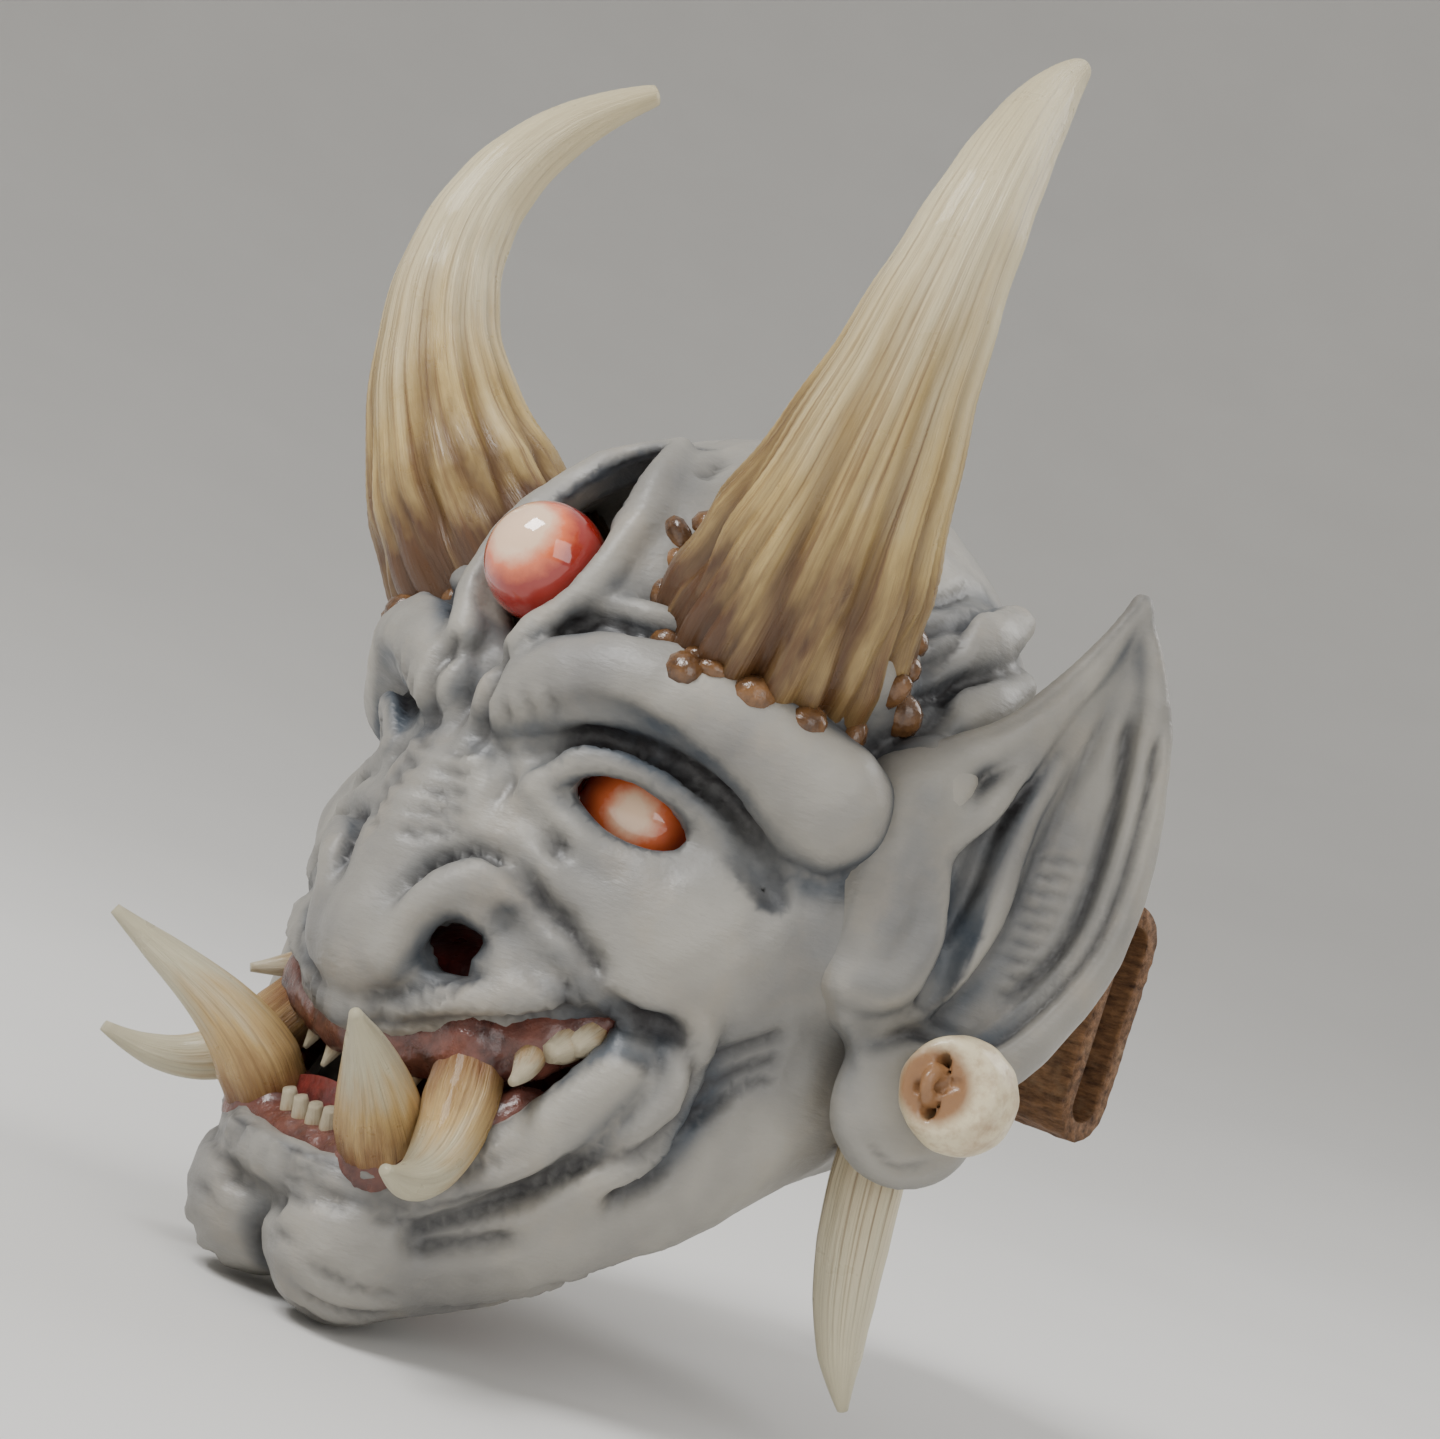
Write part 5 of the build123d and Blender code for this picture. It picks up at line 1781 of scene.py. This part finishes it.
# ---------------------------------------------------------------------------------------------------
# Ears and the tusks that hang in them
# ---------------------------------------------------------------------------------------------------
@dataclass
class Ears:
    """The two pointed ears, with their hanging tusks. Millimetres in the left ear's own plane:
    outward along the ear, off its face, and up."""

    root: Point = (39.22, -67.2, 0.0)
    yaw: float = 30.0
    front: tuple = ((-2.0, 14), (1.6, 18.5), (6.2, 22.4), (11.8, 31.0), (16.0, 41.4))
    rear: tuple = ((16.0, 41.4), (21.0, 31.6), (23.8, 18), (23.6, 5), (18.8, -6.5), (12.4, -14.5))
    foot: tuple = ((8, -17.5), (2, -14), (-3, -8), (-4, 4))
    lobe: tuple = (8.6, -17.0)
    lobe_radius: float = 8.9
    bore: tuple = (9.7, -14.0)
    bore_radius: float = 3.35
    pitch: float = 0.62
    bends: tuple = ((0.7, -12.1, -1.1), (1.4, -25.6, -1.1), (6.7, -35.5, -1.1))
    tusk_radii: tuple = (3.3, 3.8, 3.95, 3.8, 3.3, 2.4, 0.6)
    elbow_off: float = -7.25
    knob_off: float = 3.85
    knob_turn: float = 32.0
    knob_depth: float = 6.5
    knob_room: float = 9.0
    knob_pitch: float = 0.42
    shank_radius: float = 3.15
    shank_length: float = 13.5
    elbow_radius: float = 3.35

    def placed(self, points: np.ndarray) -> np.ndarray:
        """Points of the ear's plane as points of the mask.

        Args:
            points: Outward, off and up, one point a row.

        Returns:
            The same points in the mask's own frame.
        """
        turn = math.radians(self.yaw)
        out = np.array((math.sin(turn), math.cos(turn), 0))
        off = np.array((math.cos(turn), -math.sin(turn), 0))
        points = np.asarray(points, float)
        return np.array(self.root) + points[:, :1] * out + points[:, 1:2] * off + points[:, 2:] * (0, 0, 1)

    def settle(self, piece: bpy.types.Object, points: np.ndarray) -> None:
        """Put a mesh made in the ear's plane in its place, its faces turned to stay outward.

        Args:
            piece: The piece.
            points: Its points in the ear's plane.
        """
        piece.data.vertices.foreach_set("co", (self.placed(points) * MM).astype(np.float32).ravel())
        piece.data.flip_normals()

    def leaf(self, x: np.ndarray, y: np.ndarray, z: np.ndarray) -> np.ndarray:
        """Distances to the thin cupped leaf inside the rims."""
        outline = np.vstack([smooth_line(self.front, 22), smooth_line(self.rear, 30),
                             smooth_line(self.foot, 12)])
        across, up = np.meshgrid(x[:, 0, 0], z[0, 0, :], indexing="ij")
        spots = np.stack([across.ravel(), up.ravel()], axis=1)
        inside = np.zeros(len(spots), bool)
        for a, b in zip(outline, np.roll(outline, -1, axis=0)):
            crosses = (a[1] > spots[:, 1]) != (b[1] > spots[:, 1])
            at = (b[0] - a[0]) * (spots[:, 1] - a[1]) / (b[1] - a[1] + 1e-12) + a[0]
            inside ^= crosses & (spots[:, 0] < at)
        closed = np.vstack([outline, outline[:1]])
        edge = distance_to_line(spots, closed) * np.where(inside, -1, 1)
        edge = edge.reshape(across.shape)[:, None, :]
        cup = -0.6 - 1.5 * np.clip(-edge / 8, 0, 1)
        return np.maximum(edge, np.abs(y - cup) - 1.35)

    def carve(self) -> Clay:
        """Lay the ear in its own plane.

        Returns:
            The clay.
        """
        clay = Clay((-12, -9, -29), (30, 8, 47), self.pitch)
        clay.add(Region((-8, -6, -26), (28, 5, 46), self.leaf), 0.5)
        up = [(a, 0.2, b) for a, b in self.front]
        clay.add(Roll(up, (3.0, 2.6, 2.2, 1.9, 0.9)), 1.2)
        rear = [(a, 0.0, b) for a, b in self.rear]
        clay.add(Roll(rear, (0.9, 2.0, 2.7, 3.0, 3.1, 3.2)), 1.2)
        clay.add(Ball((self.lobe[0], 0, self.lobe[1]),
                      (self.lobe_radius - 0.4, 3.5, self.lobe_radius - 0.4)), 2.5)
        clay.add(Roll(((-1, -2.0, -5), (-1, -2.0, 12)), (6.0, 6.2)), 3)
        clay.add(Roll(((3, -0.5, -9), (7, 0.6, -4), (10, 0.4, 4), (10.5, 0.0, 13), (12.5, -0.6, 22)),
                      (2.2, 2.3, 2.0, 1.7, 1.0)), 1.5)
        clay.add(Roll(((1, 1.2, 9), (5, 1.6, 14), (8.5, 0.6, 21), (11.5, -0.4, 29)), (2.2, 1.9, 1.5, 0.9)),
                 1.3)
        clay.add(Roll(((-3, 1.8, -7), (1.5, 2.2, -6), (3.4, 2.0, 0), (2, 2.0, 6)), (2.2, 2.4, 2.3, 1.8)), 1.3)
        clay.cut(Roll(((6.4, 2.6, -6), (7, 2.4, 2), (6.6, 2.6, 8)), (1.5, 2.0, 1.2)), 1.0)
        bore = (self.bore[0], self.bore[1])
        clay.cut(Region((bore[0] - 4, -9, bore[1] - 4), (bore[0] + 4, 9, bore[1] + 4),
                        lambda x, y, z: np.hypot(x - bore[0], z - bore[1]) - self.bore_radius + 0 * y), 0.3)
        return clay

    def surface(self) -> Sculpted:
        """The creased ear in the mask's own frame."""
        surface = Sculpted.of(self.carve())
        fine = {"width": 0.6, "depth": 0.4, "stain": 0.7}
        lines = [
            Furrow(((21.6, 1.0, 30), (23.0, 1.6, 18), (22.4, 1.6, 5), (17.4, 1.6, -5), (13, 1.6, -10)),
                   width=0.8, depth=0.7, stain=1.0),
            Furrow(((18.6, 0, 31), (20.6, 0, 18), (20, 0, 5), (15, 0, -4)), width=0.8, depth=0.6, stain=0.9),
            Furrow(((13, 0, -3), (18.4, 0, -2)), ((13, -1, 12), (20, -1, 13)), count=9, **fine),
            Furrow(((4.6, 2, -8), (5, 2, 0), (5.4, 2, 8), (9, 1, 18)), width=0.7, depth=0.5, stain=0.9),
            Furrow(((13.5, -1, 3), (14, -1, 12), (15.5, -1, 22), (16.4, 0, 31)), width=0.8, depth=0.5,
                   stain=0.6),
            Furrow(((2, 3, -12), (6, 3.4, -9.5), (11, 3, -8.8), (15.4, 2.6, -10)), width=0.8, depth=0.6,
                   stain=0.9),
            Furrow(((3, 3, -21), (8, 3.4, -23.4), (13, 3, -21)), width=0.7, depth=0.4, stain=0.5),
        ]
        for line in lines:
            surface.crease(line, both_sides=False)
        surface.roughen(5.0, 0.14, 3.0)
        return surface

    def build(self) -> None:
        """Model and dress both ears, their tusks and the tusks' knobs."""
        surface = self.surface()
        left = surface.piece("left_ear_modelled")
        self.settle(left, surface.points + surface.outward * surface.pushed[:, None])
        hand_over_pair(left, PaintedSkin().made(), "skin", "left_ear")
        self.root_knobs()
        self.hanging_tusks()

    def root_knobs(self) -> None:
        """The sawn root on each shank's end: a cream stub with a brown sunken face, turned forward."""
        room = self.knob_room
        low, high = (-room, -1, -room), (room, 13, room)
        clay = Clay(low, high, self.knob_pitch)
        clay.add(Roll(((0, 3.4, 0), (-1.2, 4.6, 0.2)), (5.4, 5.0)), 0.5)
        clay.add(Ball((0.6, 4.0, -0.2), (5.9, 3.9, 5.8)), 1.6)
        clay.cut(Region(low, (room, 0.35, room), lambda x, y, z: y - 0.1 + 0 * (x + z)), 0.4)
        tilt = math.radians(self.knob_turn)
        face = np.array((-math.sin(tilt), math.cos(tilt), 0.0))
        clay.cut(Region(low, high, lambda x, y, z: self.knob_depth - (x * face[0] + y * face[1]) + 0 * z),
                 0.7)
        middle = face * self.knob_depth
        turned = (0, 0, -self.knob_turn)
        clay.cut(Ball(middle, (3.5, 1.0, 3.5), turned), 0.4)
        clay.add(Ball(middle - face * 0.7, (2.3, 1.1, 2.3), turned), 0.3)
        across = np.array((face[1], -face[0], 0.0))
        ends = [middle + across * 2.2 + (0, 0, 1.0), middle - across * 1.2 + (0, 0, -0.6)]
        clay.cut(Roll(ends, (0.5, 0.7)), 0.3)
        surface = Sculpted.of(clay)
        surface.roughen(2.4, 0.10, 6.0)
        left = surface.piece("left_root_knob_sawn")
        away = np.linalg.norm(surface.points - middle, axis=1)
        set_attribute(left, "face", np.clip((4.4 - away) / 1.3, 0, 1))
        hang = np.array((self.bore[0], self.knob_off, self.bore[1]))
        self.settle(left, surface.points + surface.outward * surface.pushed[:, None] + hang)
        hand_over_pair(left, KnobCream().made(), "ivory", "left_root_knob", hanging=True)

    def hanging_tusks(self) -> None:
        """Each tusk hangs from an elbow behind its lobe, on a shank that runs through it."""
        ivory = StainedHorn("ear_tusk_ivory", tip=(0.66, 0.60, 0.42), middle=(0.62, 0.53, 0.35),
                            root=(0.36, 0.22, 0.10),
                            amber_end=0.3, streaks=0.95).made()
        hang = np.array((self.bore[0], self.elbow_off, self.bore[1]))
        bends = [hang + (out, off, up) for out, up, off in self.bends]
        line = bezier_line(self.placed(np.vstack([hang, *bends])), 70)

        def radius(share: float, angles: np.ndarray) -> np.ndarray:
            """Radii round the tusk, with long shallow grooves."""
            plain = float(np.interp(share, np.linspace(0, 1, len(self.tusk_radii)), self.tusk_radii))
            grooves = np.cos(5 * angles + 3 * share) + 0.7 * np.cos(9 * angles - 2 * share)
            return plain * (1 + 0.035 * grooves * math.sin(math.pi * min(share + 0.1, 1)))

        tusk = make_swept("tusk_part", swept(line, radius, 40))
        shank_line = self.placed(np.array([hang, hang + (0, self.shank_length, 0)]))
        shank_line = smooth_line(shank_line, 12)
        shank = make_swept("shank_part", swept(shank_line, lambda share,
                                               angles: self.shank_radius + 0 * angles, 32))
        elbow = Clay(hang - 5, hang + 5, 0.5)
        elbow.add(Ball(hang, (self.elbow_radius,) * 3), 0.1)
        ball = Sculpted.of(elbow)
        ball.points = self.placed(ball.points)
        elbow_piece = make_piece("elbow_part", ball.points, ball.faces[:, ::-1])
        set_attribute(elbow_piece, "along", np.zeros(len(ball.points)))
        set_attribute(elbow_piece, "groove", np.zeros(len(ball.points)))
        set_direction(elbow_piece, "grain", (ball.points - ball.points.mean(0)) / 3.3)
        for piece in (tusk, shank, elbow_piece):
            piece.data.materials.append(ivory)
        left = joined("left_ear_tusk_grown", [tusk, shank, elbow_piece])
        hand_over_pair(left, None, "ivory", "left_ear_tusk", hanging=True)


# ---------------------------------------------------------------------------------------------------
# Strap sleeve
# ---------------------------------------------------------------------------------------------------
@dataclass
class StrapSleeve:
    """The bark-like leather sleeve that a strap slides through. Millimetres."""

    wall: float = 2.8
    corner: float = 5.3
    stations: int = 120
    around: int = 180
    bark: float = 0.35

    def ring(self, half_depth: float, half_height: float, corner: float) -> np.ndarray:
        """A rounded oblong, as depth and height.

        Args:
            half_depth: Half its depth.
            half_height: Half its height.
            corner: Its corner radius.

        Returns:
            Its points, evenly spread by angle steps along its outline.
        """
        straight = (2 * (half_depth - corner), 2 * (half_height - corner))
        arc = corner * math.pi / 2
        total = 2 * sum(straight) + 4 * arc
        points = []
        for step in np.linspace(0, total, self.around, endpoint=False):
            y, z, turn = half_depth, -straight[1] / 2, 0.0
            for run in (straight[1], straight[0], straight[1], straight[0]):
                ahead = (-math.sin(turn), math.cos(turn))
                if step <= run:
                    y, z = y + ahead[0] * step, z + ahead[1] * step
                    break
                y, z, step = y + ahead[0] * run, z + ahead[1] * run, step - run
                centre = (y - corner * math.cos(turn), z - corner * math.sin(turn))
                if step <= arc:
                    turn += step / corner
                    y, z = centre[0] + corner * math.cos(turn), centre[1] + corner * math.sin(turn)
                    break
                turn, step = turn + math.pi / 2, step - arc
                y, z = centre[0] + corner * math.cos(turn), centre[1] + corner * math.sin(turn)
            points.append((y, z))
        return np.array(points)

    def build(self) -> None:
        """Model and dress the sleeve."""
        low, high = (np.array(corner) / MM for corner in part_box("strap_sleeve"))
        middle, half = (low + high) / 2, (high - low) / 2
        outer = self.ring(half[1] - self.bark, half[2] - self.bark, self.corner)
        inner = self.ring(half[1] - self.wall, half[2] - self.wall, self.corner - self.wall)
        rings, faces = [], []
        stops = np.linspace(-1, 1, self.stations) * (half[0] - 0.3)
        for stop in stops:
            place = np.column_stack([np.full(self.around, stop), outer])
            rough = self.bark * ripple(place * (0.16, 1, 1), 2.0, 7.0) + 0.4 * self.bark * ripple(place,
                                                                                                  1.7, 2.0)
            normal = outer / np.maximum(np.linalg.norm(outer, axis=1, keepdims=True), 1e-6)
            flat = np.abs(outer[:, 0]) > half[1] - self.bark - 0.6
            normal[flat] = np.column_stack([np.sign(outer[flat, 0]), np.zeros(flat.sum())])
            lift = np.where(outer[:, 0] > 0, 0.4, 1.0) * rough
            ends = 0.5 * ripple(np.column_stack([outer * 0.9, np.zeros(self.around)]), 3.0, 1.0)
            shift = np.where(abs(stop) > half[0] - 1.4, ends * np.sign(stop) * 0.6, 0)
            rings.append(np.column_stack([place[:, 0] - np.abs(shift) * np.sign(stop),
                                          outer + normal * lift[:, None]]))
        for stop in stops[::-1]:
            rings.append(np.column_stack([np.full(self.around, stop), inner]))
        count = len(rings)
        for k in range(count):
            for j in range(self.around):
                after, up = (j + 1) % self.around, (k + 1) % count
                faces.append((k * self.around + j, k * self.around + after, up * self.around + after,
                              up * self.around + j))
        sleeve = make_piece("strap_sleeve_leather", np.vstack(rings) + middle, faces)
        hand_over(sleeve, BarkLeather().made(), "bark", "strap_sleeve")


# ---------------------------------------------------------------------------------------------------
# What stays as it was turned or cast
# ---------------------------------------------------------------------------------------------------
@dataclass
class CarriedOver:
    """The solids that keep their own shape and get a better finish, and the forehead's eye."""

    look: Point = (0.559, -0.829, 0.0)
    eye_radius: float = 8.0
    eye_heart: float = 0.16
    third_look: Point = (0.15, -0.94, 0.31)
    third_heart: float = 0.42
    third_pitch: float = 0.4

    def dress(self, node: str, finish: bpy.types.Material) -> None:
        """Give a node a material in each of its slots.

        Args:
            node: The node's name.
            finish: The material.
        """
        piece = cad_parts[node]
        if not piece.data.materials:
            piece.data.materials.append(finish)
        for k in range(len(piece.data.materials)):
            piece.data.materials[k] = finish
        log.info("%s keeps its shape", node)

    def third_eye(self) -> None:
        """The forehead's eye, a ball that stands half out of its slit."""
        head = Head()
        middle, radius = np.array(head.third_eye), head.third_eye_radius
        clay = Clay(middle - radius - 1, middle + radius + 1, self.third_pitch)
        clay.add(Ball(middle, (radius, radius, radius)), 0.01)
        ball = Sculpted.of(clay).piece("third_eye_ball")
        glaze = GlossyEye("third_eye_glaze", head.third_eye, self.third_look, radius,
                          heart_size=self.third_heart)
        hand_over(ball, glaze.made(), "eye", "third_eyeball")

    def build(self) -> None:
        """Dress the eyes, the mouth's lining and the pins."""
        for side in Side:
            node = f"{side.word}_eyeball"
            look = (side.value * self.look[0], *self.look[1:])
            glaze = GlossyEye(f"{side.word}_eye_glaze", tuple(node_middle(node)), look, self.eye_radius,
                              heart_size=self.eye_heart)
            self.dress(node, glaze.made())
        self.third_eye()
        lining = WetFlesh("mouth_red", (0.20, 0.03, 0.025), (0.05, 0.010, 0.010), 0.35).made()
        self.dress("mouth_lining", lining)
        steel = DarkMetal().made()
        for node in ("horn_dowels", "ear_pins", "sleeve_pins"):
            self.dress(node, steel)


# ---------------------------------------------------------------------------------------------------
# Stage
# ---------------------------------------------------------------------------------------------------
@dataclass
class Studio:
    """A pale floor that runs into the air behind it, soft lamps and the camera."""

    air: Point = (0.74, 0.73, 0.71)
    eye: Point = (0.17082, -0.23955, -0.01188)
    right: Point = (0.7115, 0.6204, 0.3299)
    up: Point = (-0.1634, -0.3105, 0.9364)
    lens: float = 52.5
    flat: float = 420.0
    sweep: float = 2600.0
    wall_top: float = 3200.0
    sides: int = 96
    lamps: tuple = (
        ((-0.15, -0.75, 0.80), 0.40, 11.0),
        ((0.85, -0.35, 0.40), 0.60, 3.0),
        ((0.25, 0.65, 0.65), 0.50, 4.0),
    )

    lamp_aim: Point = (0.0, -0.06, 0.01)

    def floor(self) -> None:
        """The pale floor just under the object, curving up far behind it on every side."""
        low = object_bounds()[0][2] / MM - 0.5
        turn = np.linspace(0, math.pi / 2, 14)
        reach = np.concatenate([[1.0], self.flat + self.sweep * np.sin(turn), [self.flat + self.sweep]])
        rise = np.concatenate([[0.0], self.sweep * (1 - np.cos(turn)), [self.wall_top]])
        angles = np.linspace(0, 2 * math.pi, self.sides, endpoint=False)
        rings = [np.column_stack([r * np.cos(angles), r * np.sin(angles), np.full(self.sides, low + z)])
                 for r, z in zip(reach, rise)]
        faces = [tuple(range(self.sides))]
        for k in range(len(rings) - 1):
            for j in range(self.sides):
                after = (j + 1) % self.sides
                first, second = k * self.sides, (k + 1) * self.sides
                faces.append((first + after, first + j, second + j, second + after))
        mesh = bpy.data.meshes.new("floor")
        mesh.from_pydata((np.vstack(rings) * MM).tolist(), [], faces)
        mesh.shade_smooth()
        floor = bpy.data.objects.new("floor", mesh)
        bpy.context.scene.collection.objects.link(floor)
        paint = Paint("floor_pale", 0.9)
        colour = paint.laid_over(paint.spread(paint.speckle(6, 2), 0.3, 0.7), self.air,
                                 tuple(p * 0.97 for p in self.air))
        floor.data.materials.append(paint.done(colour, paint.spread(paint.speckle(9, 2), 0, 1, 0.85, 0.95),
                                               paint.relief(paint.speckle(300, 2), 0.0001, 0.05)))
        floor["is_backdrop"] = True

    def light(self) -> None:
        """Soft lamps and a pale sky."""
        world = bpy.data.worlds.new("studio_air")
        bpy.context.scene.world = world
        world.use_nodes = True
        world.node_tree.nodes["Background"].inputs["Color"].default_value = (*self.air, 1)
        world.node_tree.nodes["Background"].inputs["Strength"].default_value = 0.8
        for k, (place, size, power) in enumerate(self.lamps):
            lamp = bpy.data.lights.new(f"lamp_{k}", "AREA")
            lamp.size = size
            lamp.energy = power
            holder = bpy.data.objects.new(f"lamp_{k}", lamp)
            bpy.context.scene.collection.objects.link(holder)
            holder.location = place
            toward = Vector(self.lamp_aim) - holder.location
            holder.rotation_euler = toward.to_track_quat("-Z", "Y").to_euler()

    def camera(self) -> None:
        """The camera, level with the mask and leaning with it."""
        lens = bpy.data.cameras.new("camera")
        lens.lens = self.lens
        lens.sensor_width = 36
        lens.clip_start = 0.01
        holder = bpy.data.objects.new("camera", lens)
        bpy.context.scene.collection.objects.link(holder)
        right, up = np.array(self.right), np.array(self.up)
        back = np.cross(right, up)
        place = np.eye(4)
        place[:3, :3] = np.column_stack([right, up, back])
        place[:3, 3] = self.eye
        holder.matrix_world = Matrix(place)
        bpy.context.scene.camera = holder

    def build(self) -> None:
        """Set the whole stage."""
        self.floor()
        self.light()
        self.camera()


def main() -> None:
    """Build every piece in order."""
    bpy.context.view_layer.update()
    head = Head().build()
    Horns().build(head)
    Mouth().build()
    Ears().build()
    StrapSleeve().build()
    CarriedOver().build()
    Studio().build()


if __name__ == "__main__":
    main()
